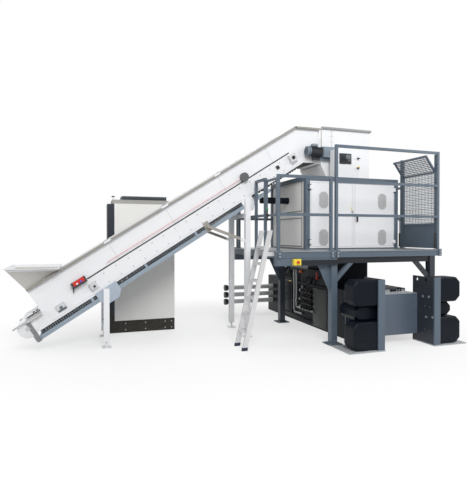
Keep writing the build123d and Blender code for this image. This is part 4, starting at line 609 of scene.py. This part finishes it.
for door, vent_x in (("door_left", -0.736), ("door_right", 0.386)):
    sheet, holes, frames = Piece(), Piece(), Piece()
    for vent_z in VENT_HEIGHTS:
        sheet.plate(vent_outline(vent_x, vent_z, VENT_HALF, VENT_TALL, DOOR_FACE - 0.0012), (0, 0.003, 0))
        outer = vent_outline(vent_x, vent_z, VENT_HALF + 0.006, VENT_TALL + 0.007, DOOR_FACE - 0.003)
        inner = vent_outline(vent_x, vent_z, VENT_HALF - 0.002, VENT_TALL - 0.002, DOOR_FACE - 0.003)
        deep = Vector((0, 0.005, 0))
        frames.band([(a, b, Vector(b) + deep, Vector(a) + deep) for a, b in zip(outer, inner)], True)
        for row in HOLE_ROWS:
            for column in HOLE_COLUMNS:
                a, b = (column + (row % 2) / 2) * COLUMN_PITCH, row * ROW_PITCH
                if in_vent(a, b):
                    x, z = vent_x + a, vent_z + b
                    holes.rod((x, DOOR_FACE, z), (x, DOOR_FACE - 0.0016, z), HOLE_R, 8)
    sheet.done(door + "_vent_sheet", VENT_GRAY, body=door)
    holes.done(door + "_vent_holes", VENT_HOLE, body=door)
    frames.done(door + "_vent_frames", looks["white"], body=door, slot="white")

# Mesh gate: fine wires between the solid's own, on the upright panel and the tilted strip above it
gate_low, gate_high = (Vector(p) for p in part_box("mesh_gate"))
GATE_X, WIRE_R, WIRES_BETWEEN, MESH_CELLS = gate_high.x - 0.015, 0.0036, 3, 10
MESH_LOW, MESH_HIGH, STRIP, STRIP_TILT = 1.805, 2.650, 0.330, radians(38)
MESH_COLUMN, MESH_ROW, MESH_INSET = 0.074, 0.0845, 0.082
near, far = gate_low.y + MESH_INSET, gate_high.y - MESH_INSET
wires = Piece()
tilt = Vector((-sin(STRIP_TILT), 0, cos(STRIP_TILT)))
fine_steps = [step for step in range(MESH_CELLS * WIRES_BETWEEN) if step % WIRES_BETWEEN]
for base, run, length in ((MESH_LOW, Vector(UPWARD), MESH_HIGH - MESH_LOW), (MESH_HIGH, tilt, STRIP)):
    for step in fine_steps:
        start = Vector((GATE_X, near + MESH_COLUMN * step / WIRES_BETWEEN, base))
        wires.rod(start, start + run * length, WIRE_R, 6)
for step in fine_steps:
    height = MESH_LOW + MESH_ROW * step / WIRES_BETWEEN
    wires.rod((GATE_X, near, height), (GATE_X, far, height), WIRE_R, 6)
wires.done("gate_wire_mesh", MESH_WIRE, body="gate")

# Operator panel: bezel and screen glass
screen_low, screen_high = (Vector(p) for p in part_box("panel_screen"))
BEZEL = 0.014
inset = Vector((BEZEL / 2, 0, BEZEL / 2))
outer_low, outer_high = screen_low - inset, screen_high + inset
bezel = Piece()
bezel.bars_round(
    (outer_low.x, outer_low.z), (outer_high.x, outer_high.z),
    BEZEL, screen_low.y - 0.004, screen_high.y + 0.001,
)
bezel.done("screen_bezel", looks["black_plastic"], slot="black_plastic", bevel=0.003)
glass, tree, bsdf, coords = new_material("screen_glass")
parts = tree.node("ShaderNodeSeparateXYZ")
tree.link(coords, parts.inputs[0])
glow = tree.span(parts.outputs[2], screen_low.z, screen_high.z, 0.012, 0.05)
tint = tree.node("ShaderNodeCombineColor")
for socket, share in zip(tint.inputs, (0.7, 0.9, 1.1)):
    tree.link(tree.math("MULTIPLY", glow, share), socket)
tree.link(tint.outputs[0], bsdf.inputs["Base Color"])
bsdf.inputs["Roughness"].default_value = 0.08
screen = Piece()
screen.box(screen_low + inset - Vector((0, 0.0025, 0)), screen_high - inset - Vector((0, 0.002, 0)))
screen.done("screen_glass", glass, bevel=0.001)

# Conveyor gear motor: cooling fins, fan cover with its grille, flange with its bolts
MOTOR_AXIS = Vector((0, -0.090, 3.015))
MOTOR_R, FLANGE_R = 0.076, 0.080
FIN_COUNT, FIN_HALF, TERMINAL_BOX_Z = 36, 0.0022, 0.86
motor_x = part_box("conveyor_motor")[0][0]


def on_motor(x):
    """The point of the motor's axis at this x."""
    return MOTOR_AXIS + Vector((x, 0, 0))


def round_motor(angle):
    """The direction square to the motor's axis at this angle."""
    return Vector((0, cos(angle), sin(angle)))


fins = Piece()
start, end = on_motor(motor_x + 0.075), on_motor(motor_x + 0.270)
for step in range(FIN_COUNT):
    out = round_motor(2 * pi * step / FIN_COUNT)
    if out.z > TERMINAL_BOX_Z:
        continue
    root, tip = start + out * (MOTOR_R - 0.002), start + out * (MOTOR_R + 0.009)
    side = Vector((0, -out.z, out.y)) * FIN_HALF
    fins.plate([root - side, tip - side * 0.6, tip + side * 0.6, root + side], end - start)
fins.done("motor_fins", FIN_BLACK, slot="motor_gray")

cover = Piece()
cover.ring(on_motor(motor_x + 0.035), ALONG, MOTOR_R + 0.002, 0.004, 40)
cover.ring(on_motor(motor_x + 0.070), ALONG, MOTOR_R + 0.001, 0.005, 40)
centre = on_motor(motor_x - 0.001)
for radius in (0.018, 0.034, 0.050, 0.064):
    cover.ring(centre, ALONG, radius, 0.0022, 32, 6)
for step in range(6):
    out = round_motor(pi * step / 3)
    cover.rod(centre + out * 0.012, centre + out * 0.066, 0.002, 6)
cover.done("motor_fan_cover", DARK_FIXING)

FLANGE_BOLTS = 8
flange = Piece()
flange.ring(on_motor(-0.628), ALONG, FLANGE_R, 0.009, 40)
for step in range(FLANGE_BOLTS):
    out = round_motor(2 * pi * (step + 0.5) / FLANGE_BOLTS)
    flange.bolt(on_motor(-0.637) + out * FLANGE_R, LEFTWARD, 0.006)
flange.done("motor_flange", looks["motor_gray"], slot="motor_gray")

# Control cabinet: lamp on the roof, cooling grille slats
cab_low, cab_high = (Vector(p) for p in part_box("cabinet_body"))
LAMP_X, LAMP_Y = cab_low.x + 0.012, cab_low.y + 0.030
lamp, cap = Piece(), Piece()
for piece, low, high, radius, end_radius in (
    (lamp, 2.205, 2.222, 0.020, None),
    (lamp, 2.222, 2.252, 0.014, None),
    (cap, 2.252, 2.262, 0.026, None),
    (cap, 2.262, 2.270, 0.026, 0.018),
):
    piece.rod((LAMP_X, LAMP_Y, low), (LAMP_X, LAMP_Y, high), radius, 24, end_radius)
lamp.done("cabinet_lamp", looks["white_plastic"], slot="white_plastic", bevel=0.002)
cap.done("cabinet_lamp_cap", DARK_FIXING, bevel=0.001)

SLAT_COUNT, SLAT_START, SLAT_PITCH, SLAT = 22, -3.780, 0.033, 0.018
grille = Piece()
for step in range(SLAT_COUNT):
    x = SLAT_START + SLAT_PITCH * step
    grille.box((x, cab_low.y + 0.018, cab_high.z - 0.052), (x + SLAT, cab_low.y + 0.024, cab_high.z - 0.014))
grille.done("cooler_grille", DARK_FIXING)

# Baler: access panel, frame bars, valve blocks, plugs, lamp, lever, tap and hoses on the wall that shows
WALL_X = -0.560


def on_wall(piece, y, z, start, end, radius, sides, end_radius=None):
    """A rod square to the baler's wall, from one distance off it to another."""
    piece.rod((WALL_X - start, y, z), (WALL_X - end, y, z), radius, sides, end_radius)


panel = Piece()
panel.box((WALL_X - 0.022, -0.200, 0.035), (WALL_X + SUNK, 0.284, 0.700))
panel.box((WALL_X - 0.027, -0.184, 0.052), (WALL_X - 0.020, 0.268, 0.684))
for y in (-0.165, 0.250):
    for z in (0.075, 0.660):
        panel.bolt((WALL_X - 0.027, y, z), LEFTWARD, 0.008)
panel.done("baler_access_panel", PANEL_GREEN, bevel=0.004)

bars = Piece()
for proud, low, high in (
    (0.030, (-0.240, 0.718), (1.480, 0.752)),
    (0.018, (0.300, 0.060), (1.480, 0.110)),
    (0.018, (1.120, 0.110), (1.160, 0.718)),
    (0.012, (1.180, 0.130), (1.460, 0.690)),
):
    bars.box((WALL_X - proud, *low), (WALL_X + SUNK, *high))
bars.done("baler_wall_bars", looks["black_paint"], slot="black_paint", bevel=0.003)

VALVE_HALF, VALVE_TALL, VALVE_PROUD = 0.038, 0.040, 0.030
valves = Piece()
for y in (0.372, 0.470, 0.568, 0.666):
    for z in (0.290, 0.395, 0.500, 0.605):
        valves.box(
            (WALL_X - VALVE_PROUD, y - VALVE_HALF, z - VALVE_TALL),
            (WALL_X + SUNK, y + VALVE_HALF, z + VALVE_TALL),
        )
        on_wall(valves, y, z, VALVE_PROUD, 0.058, 0.026, 20)
        on_wall(valves, y, z, 0.058, 0.068, 0.013, 6)
valves.done("baler_valve_blocks", VALVE_BLACK, bevel=0.003)

plugs = Piece()
for y, z in ((0.667, 0.675), (0.762, 0.604), (0.775, 0.443), (0.761, 0.304)):
    on_wall(plugs, y, z, -SUNK, 0.034, 0.024, 24)
    on_wall(plugs, y, z, 0.034, 0.042, 0.015, 6)
plugs.done("baler_wall_plugs", ZINC, bevel=0.002)

signal = Piece()
on_wall(signal, 0.763, 0.945, -SUNK, 0.012, 0.034, 24)
on_wall(signal, 0.763, 0.945, 0.012, 0.040, 0.028, 24, 0.020)
signal.done("baler_signal_lamp", ORANGE, bevel=0.003)

lever = Piece()
on_wall(lever, 0.128, 0.875, -SUNK, 0.040, 0.018, 20)
lever.rod((WALL_X - 0.030, 0.128, 0.860), (WALL_X - 0.045, 0.110, 0.985), 0.011, 14)
lever.done("baler_red_lever", looks["red_plastic"], slot="red_plastic", bevel=0.002)

tap = Piece()
on_wall(tap, 1.150, 0.735, -SUNK, 0.045, 0.010, 14)
tap.rod((WALL_X - 0.038, 1.110, 0.735), (WALL_X - 0.038, 1.190, 0.735), 0.012, 14)
tap.done("baler_yellow_tap", looks["yellow_plastic"], slot="yellow_plastic")

hoses = Piece()
for y, radius in ((1.290, 0.150), (1.345, 0.115), (1.400, 0.170)):
    hoses.ring((WALL_X - 0.030, y, 0.790), ALONG, radius, 0.013, 24, 10, 0.0, pi)
for y, z in ((0.560, 0.820), (0.440, 0.850), (0.330, 0.815)):
    hoses.ring((WALL_X - 0.026, y, z), ALONG, 0.085, 0.011, 24, 10, pi * 0.9, pi * 1.2)
hoses.done("baler_hoses", looks["black_plastic"], slot="black_plastic")

# Tying columns: pale bolts on the webs, darkened with painted shade, and on the foot plates
WEB_X, FOOT_TOP, FOOT_BOLT_R = 0.430, 0.015, 0.010
bolts = Piece()
for side in (-1, 1):
    for y, z in ((-1.269, 0.702), (-1.391, 0.706), (-1.338, 0.398), (-1.464, 0.415)):
        bolts.bolt((side * WEB_X, y, z), (-side, 0, 0), 0.016)
    for x in (0.600, 0.760, 0.930):
        for y in (-1.500, -1.080):
            bolts.bolt((side * x, y, FOOT_TOP), UPWARD, FOOT_BOLT_R)
bolts.done("column_bolts", ZINC)

# Discharge hood: folded rim edge, corner fold, sheet joint and its bolts
hood_low, hood_high = (Vector(p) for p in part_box("discharge_hood"))
PROUD, LAPPED = 0.004, 0.003
edge_low, edge_high = hood_high.z - 0.034, hood_high.z + 0.002
rim = Piece()
rim.box((hood_low.x, hood_low.y - PROUD, edge_low), (hood_high.x, hood_low.y + LAPPED, edge_high))
rim.box((hood_low.x, hood_high.y - LAPPED, edge_low), (hood_high.x, hood_high.y + PROUD, edge_high))
rim.box((hood_high.x - LAPPED, hood_low.y, edge_low), (hood_high.x + PROUD, hood_high.y, edge_high))
rim.done("hood_rim_edge", HOOD_EDGE, bevel=0.0015)

HOOD_FACE = -0.030
folds = Piece()
folds.box((-0.606, HOOD_FACE - 0.006, 3.010), (-0.592, HOOD_FACE + 0.003, 3.412))
folds.box((-0.403, HOOD_FACE - 0.003, 2.990), (-0.396, HOOD_FACE + 0.002, 3.415))
folds.done("hood_folds", HOOD_FOLD, bevel=0.001)

hood_bolts = Piece()
for step in range(5):
    for x in (-0.425, -0.374):
        hood_bolts.bolt((x, HOOD_FACE, 3.03 + 0.09 * step), TOWARD, 0.006)
hood_bolts.done("hood_bolts", ZINC)

# Shredder: trim around the two side panels, door lock and marker, folds of the door sheets
SIDE_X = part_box("shredder_panels")[0][0]
TRIM, TRIM_NEAR, TRIM_FAR, TRIM_PROUD = 0.014, -0.190, 0.674, 0.006
trim = Piece()
for low, high in ((1.431, 1.909), (2.006, 2.509)):
    for y in (TRIM_NEAR, TRIM_FAR - TRIM):
        trim.box((SIDE_X - TRIM_PROUD, y, low), (SIDE_X + SUNK, y + TRIM, high))
    for z in (low, high - TRIM):
        trim.box((SIDE_X - TRIM_PROUD, TRIM_NEAR, z), (SIDE_X + SUNK, TRIM_FAR, z + TRIM))
trim.done("side_panel_trim", TRIM_BROWN, bevel=0.002)

lock = Piece()
lock.rod((-0.200, DOOR_FACE + SUNK, 2.010), (-0.200, DOOR_FACE - 0.010, 2.010), 0.017, 24)
lock.box((-0.206, DOOR_FACE - 0.018, 1.985), (-0.194, DOOR_FACE - 0.008, 2.035))
lock.done("door_lock", ZINC, body="door_left", bevel=0.001)
MARKER_X, MARKER_Z, MARKER_R = -0.214, 2.062, 0.011
marker = Piece()
for start, end, end_radius in ((SUNK, -0.010, None), (-0.010, -0.016, 0.006)):
    marker.rod(
        (MARKER_X, DOOR_FACE + start, MARKER_Z), (MARKER_X, DOOR_FACE + end, MARKER_Z),
        MARKER_R, 20, end_radius,
    )
marker.done("door_marker", looks["yellow_plastic"], body="door_left", slot="yellow_plastic")

FOLD, FOLD_LOW, FOLD_HIGH = 0.004, 1.436, 2.469
for door, left, right in (("door_left", -0.970, -0.200), ("door_right", -0.150, 0.622)):
    folds = Piece()
    folds.bars_round((left, FOLD_LOW), (right, FOLD_HIGH), FOLD, DOOR_FACE - 0.0012, DOOR_FACE + 0.001)
    folds.done(door + "_sheet_folds", SEAM_GRAY, body=door)

# Platform: edge channel lips, rail post brackets with bolts, foot plate bolts
DECK_LOW, DECK_HIGH = (Vector(p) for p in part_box("deck_frame"))
LIP_TALL, LIP_PROUD = 0.009, 0.005
lips = Piece()
for z in (DECK_LOW.z, DECK_HIGH.z - LIP_TALL):
    top = z + LIP_TALL
    lips.box((DECK_LOW.x, DECK_LOW.y - LIP_PROUD, z), (DECK_HIGH.x, DECK_LOW.y + SUNK, top))
    lips.box((DECK_LOW.x - LIP_PROUD, DECK_LOW.y, z), (DECK_LOW.x + SUNK, DECK_HIGH.y, top))
    lips.box((DECK_HIGH.x - SUNK, DECK_LOW.y, z), (DECK_HIGH.x + LIP_PROUD, DECK_HIGH.y, top))
lips.done("deck_edge_lips", looks["blue_gray"], slot="blue_gray", bevel=0.002)

BRACKET_HALF, BRACKET_FACE = 0.026, DECK_LOW.y - 0.014
brackets, platform_bolts = Piece(), Piece()
for x in (DECK_LOW.x + 0.045, -0.935, -0.845, 1.040):
    brackets.box(
        (x - BRACKET_HALF, BRACKET_FACE, DECK_LOW.z - 0.004),
        (x + BRACKET_HALF, DECK_LOW.y + SUNK, DECK_HIGH.z + 0.012),
    )
    for z in (DECK_LOW.z + 0.022, DECK_LOW.z + 0.066):
        platform_bolts.bolt((x, BRACKET_FACE, z), TOWARD, 0.009)
LEG, LEG_BOLT = 0.9, 0.085
for x in (-LEG, LEG):
    for y in (-LEG, LEG):
        for a in (-LEG_BOLT, LEG_BOLT):
            for b in (-LEG_BOLT, LEG_BOLT):
                platform_bolts.bolt((x + a, y + b, FOOT_TOP), UPWARD, FOOT_BOLT_R)
brackets.done("rail_post_brackets", looks["blue_gray"], slot="blue_gray", bevel=0.003)
platform_bolts.done("platform_bolts", ZINC)

# Conveyor foot: rolled cover round the tail drum, chain row under the side, key switch mark
TAIL_U, TAIL_V = -0.060, 0.118
COVER_R, COVER_THICK, COVER_END = 0.134, 0.004, 0.190
COVER_NEAR, COVER_FAR, COVER_STEPS = 0.004, 0.696, 18
cover = Piece()
path = [(COVER_END, TAIL_V + COVER_R, 0.0, 1.0)]
for step in range(COVER_STEPS + 1):
    angle = pi / 2 + pi * step / COVER_STEPS
    path.append((TAIL_U + COVER_R * cos(angle), TAIL_V + COVER_R * sin(angle), cos(angle), sin(angle)))
rows = []
for u, v, out_u, out_v in path:
    inside, outside = (u, v), (u + out_u * COVER_THICK, v + out_v * COVER_THICK)
    rows.append((
        on_slope(*inside, COVER_NEAR), on_slope(*outside, COVER_NEAR),
        on_slope(*outside, COVER_FAR), on_slope(*inside, COVER_FAR),
    ))
cover.band(rows, False)
cover.done("tail_cover", looks["white"], slot="white")

HUB_FACE, HUB_R, HUB_BOLTS, HUB_BOLT_R = -0.008, 0.045, 4, 0.034
disc = Piece()
disc.rod(on_slope(TAIL_U, TAIL_V, -0.002), on_slope(TAIL_U, TAIL_V, 0.008), COVER_R + COVER_THICK, 48)
disc.rod(on_slope(TAIL_U, TAIL_V, HUB_FACE), on_slope(TAIL_U, TAIL_V, 0.0), HUB_R, 32)
for step in range(HUB_BOLTS):
    angle = 2 * pi * (step + 0.5) / HUB_BOLTS
    u, v = TAIL_U + HUB_BOLT_R * cos(angle), TAIL_V + HUB_BOLT_R * sin(angle)
    disc.bolt(on_slope(u, v, HUB_FACE), TOWARD, 0.005)
disc.done("tail_cover_end", looks["white"], slot="white", bevel=0.001)

LINK_COUNT, LINK_START, LINK_PITCH, LINK = 112, 0.115, 0.0335, 0.012
links = Piece()
for step in range(LINK_COUNT):
    u = LINK_START + LINK_PITCH * step
    links.box((u, 0.004, -0.050), (u + LINK, 0.010, -0.010), sloped=True)
links.done("chain_row", CHAIN_STEEL)

KEY_FACE = -0.058
mark = Piece()
mark.rod(on_slope(0.977, 0.124, KEY_FACE), on_slope(0.977, 0.124, -0.066), 0.017, 24)
mark.box((0.972, -0.074, 0.108), (0.982, -0.064, 0.140), sloped=True)
for u in (0.928, 1.025):
    for v in (0.074, 0.174):
        mark.rod(on_slope(u, v, KEY_FACE), on_slope(u, v, -0.0625), 0.005, 12)
mark.done("key_switch_mark", DARK_FIXING, bevel=0.001)

# Bolts of the conveyor's saddle plate
SADDLE_FACE = -0.008
saddle_bolts = Piece()
for u in (1.15, 1.33, 1.42):
    for v in (-0.035, -0.120):
        saddle_bolts.bolt(on_slope(u, v, SADDLE_FACE), TOWARD, 0.008)
saddle_bolts.done("saddle_bolts", ZINC)

# Screws of the cabinet's plinth
PLINTH_FACE = 0.890
plinth = Piece()
for x in (-3.75, -3.42, -3.09, -2.98):
    for z in (0.045, 0.150):
        plinth.bolt((x, PLINTH_FACE, z), TOWARD, 0.007)
plinth.done("plinth_screws", ZINC)

# Hand parts: bar on the panel's key switch, grip on the ladder gate
key_low, key_high = (Vector(p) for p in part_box("panel_key_switch"))
key_mid = (key_low + key_high) / 2
KEY_HALF, KEY_TALL = 0.026, 0.008
key_bar = Piece()
key_bar.rod((key_mid.x, key_low.y + SUNK, key_mid.z), (key_mid.x, key_low.y - 0.010, key_mid.z), 0.010, 20)
key_bar.box(
    (key_mid.x - KEY_HALF, key_low.y - 0.020, key_mid.z - KEY_TALL),
    (key_mid.x + KEY_HALF, key_low.y - 0.008, key_mid.z + KEY_TALL),
)
key_bar.done("key_bar", looks["black_plastic"], body="key_switch", slot="black_plastic", bevel=0.003)

swing_low = Vector(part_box("ladder_gate")[0])
GRIP_X, GRIP_Y, BAR_Z = swing_low.x - 0.012, -0.574, swing_low.z + 0.015
CLAMP_HALF, CLAMP_TALL = 0.022, 0.020
grip = Piece()
grip.box(
    (GRIP_X - 0.012, GRIP_Y - CLAMP_HALF, BAR_Z - CLAMP_TALL),
    (swing_low.x + 0.004, GRIP_Y + CLAMP_HALF, BAR_Z + CLAMP_TALL),
)
grip.rod((GRIP_X, GRIP_Y, BAR_Z - 0.080), (GRIP_X, GRIP_Y, BAR_Z + 0.085), 0.010, 20)
grip.done("ladder_gate_grip", looks["black_plastic"], body="ladder_gate", slot="black_plastic", bevel=0.003)
knob = Piece()
knob.rod((GRIP_X, GRIP_Y, BAR_Z + 0.083), (GRIP_X, GRIP_Y, BAR_Z + 0.103), 0.016, 24)
knob.rod((GRIP_X, GRIP_Y, BAR_Z + 0.103), (GRIP_X, GRIP_Y, BAR_Z + 0.111), 0.016, 24, 0.009)
knob.done("ladder_gate_knob", GREEN, body="ladder_gate")

# Floor: shaded near the line, plain white away from it, and a duller one for the light it sends back
FLOOR_HALF, FLOOR_DROP = 60.0, 0.001
LINE_MIDDLE, FADE_START, FADE_END = (-2.0, 0.2, 0.0), 2.2, 4.8
PLAIN_NEAR, PLAIN_AWAY = 0.55, 1.0
LIT_GRAY, BOUNCE_GRAY, PURE_WHITE = (0.86, 0.86, 0.86, 1), (0.50, 0.50, 0.50, 1), (1, 1, 1, 1)
floor_mesh = bpy.data.meshes.new("floor")
made = bmesh.new()
bmesh.ops.create_grid(made, x_segments=4, y_segments=4, size=FLOOR_HALF)
made.to_mesh(floor_mesh)
made.free()
floor = bpy.data.objects.new("floor", floor_mesh)
floor.location = (0, 0, -FLOOR_DROP)
scene.collection.objects.link(floor)
floor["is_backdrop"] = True
floor_look = bpy.data.materials.new("pale_floor")
floor_look.use_nodes = True
floor_look.node_tree.nodes.clear()
tree = Tree(floor_look.node_tree)
output = tree.node("ShaderNodeOutputMaterial")
bounce = tree.node("ShaderNodeBsdfDiffuse", Color=BOUNCE_GRAY)
lit = tree.node("ShaderNodeBsdfDiffuse", Color=LIT_GRAY)
plain = tree.node("ShaderNodeEmission", Color=PURE_WHITE, Strength=1.0)
join = tree.node("ShaderNodeMixShader")
rays = tree.node("ShaderNodeLightPath")
seen = tree.math("MAXIMUM", rays.outputs["Is Camera Ray"], rays.outputs["Is Glossy Ray"])
seen = tree.math("MAXIMUM", seen, rays.outputs["Is Transmission Ray"])
place = tree.node("ShaderNodeNewGeometry").outputs["Position"]
offset = tree.node("ShaderNodeVectorMath", operation="DISTANCE")
tree.link(place, offset.inputs[0])
offset.inputs[1].default_value = LINE_MIDDLE
away = tree.span(offset.outputs["Value"], FADE_START, FADE_END, PLAIN_NEAR, PLAIN_AWAY, True)
tree.link(away, join.inputs[0])
tree.link(lit.outputs[0], join.inputs[1])
tree.link(plain.outputs[0], join.inputs[2])
choice = tree.node("ShaderNodeMixShader")
tree.link(seen, choice.inputs[0])
tree.link(bounce.outputs[0], choice.inputs[1])
tree.link(join.outputs[0], choice.inputs[2])
tree.link(choice.outputs[0], output.inputs[0])
floor_mesh.materials.append(floor_look)

# Background: plain white to look at, softer as a light
SOFT_STRENGTH = 0.52
world = bpy.data.worlds.new("studio")
scene.world = world
world.use_nodes = True
world.node_tree.nodes.clear()
tree = Tree(world.node_tree)
output = tree.node("ShaderNodeOutputWorld")
soft = tree.node("ShaderNodeBackground", Color=PURE_WHITE, Strength=SOFT_STRENGTH)
white = tree.node("ShaderNodeBackground", Color=PURE_WHITE, Strength=1.0)
join = tree.node("ShaderNodeMixShader")
rays = tree.node("ShaderNodeLightPath")
seen = tree.math("MAXIMUM", rays.outputs["Is Camera Ray"], rays.outputs["Is Transmission Ray"])
tree.link(seen, join.inputs[0])
tree.link(soft.outputs[0], join.inputs[1])
tree.link(white.outputs[0], join.inputs[2])
tree.link(join.outputs[0], output.inputs[0])


def area_light(name, place, target, size, power):
    """A round lamp that looks at a point, with its size in metres and its power in watts."""
    data = bpy.data.lights.new(name, "AREA")
    data.shape = "DISK"
    data.size = size
    data.energy = power
    lamp = bpy.data.objects.new(name, data)
    lamp.location = place
    lamp.rotation_euler = (Vector(target) - Vector(place)).to_track_quat("-Z", "Y").to_euler()
    scene.collection.objects.link(lamp)


area_light("key_light", (-3.2, -7.8, 7.4), (-1.2, 0.0, 1.4), 5.0, 600.0)
area_light("fill_light", (6.0, -5.0, 5.0), (-0.5, 0.0, 1.6), 5.0, 190.0)
area_light("left_light", (-9.5, -0.9, 1.6), (-1.0, -0.2, 1.8), 3.0, 105.0)
area_light("back_light", (-1.0, 7.5, 6.5), (-1.0, 0.3, 1.6), 5.0, 230.0)

low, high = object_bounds()
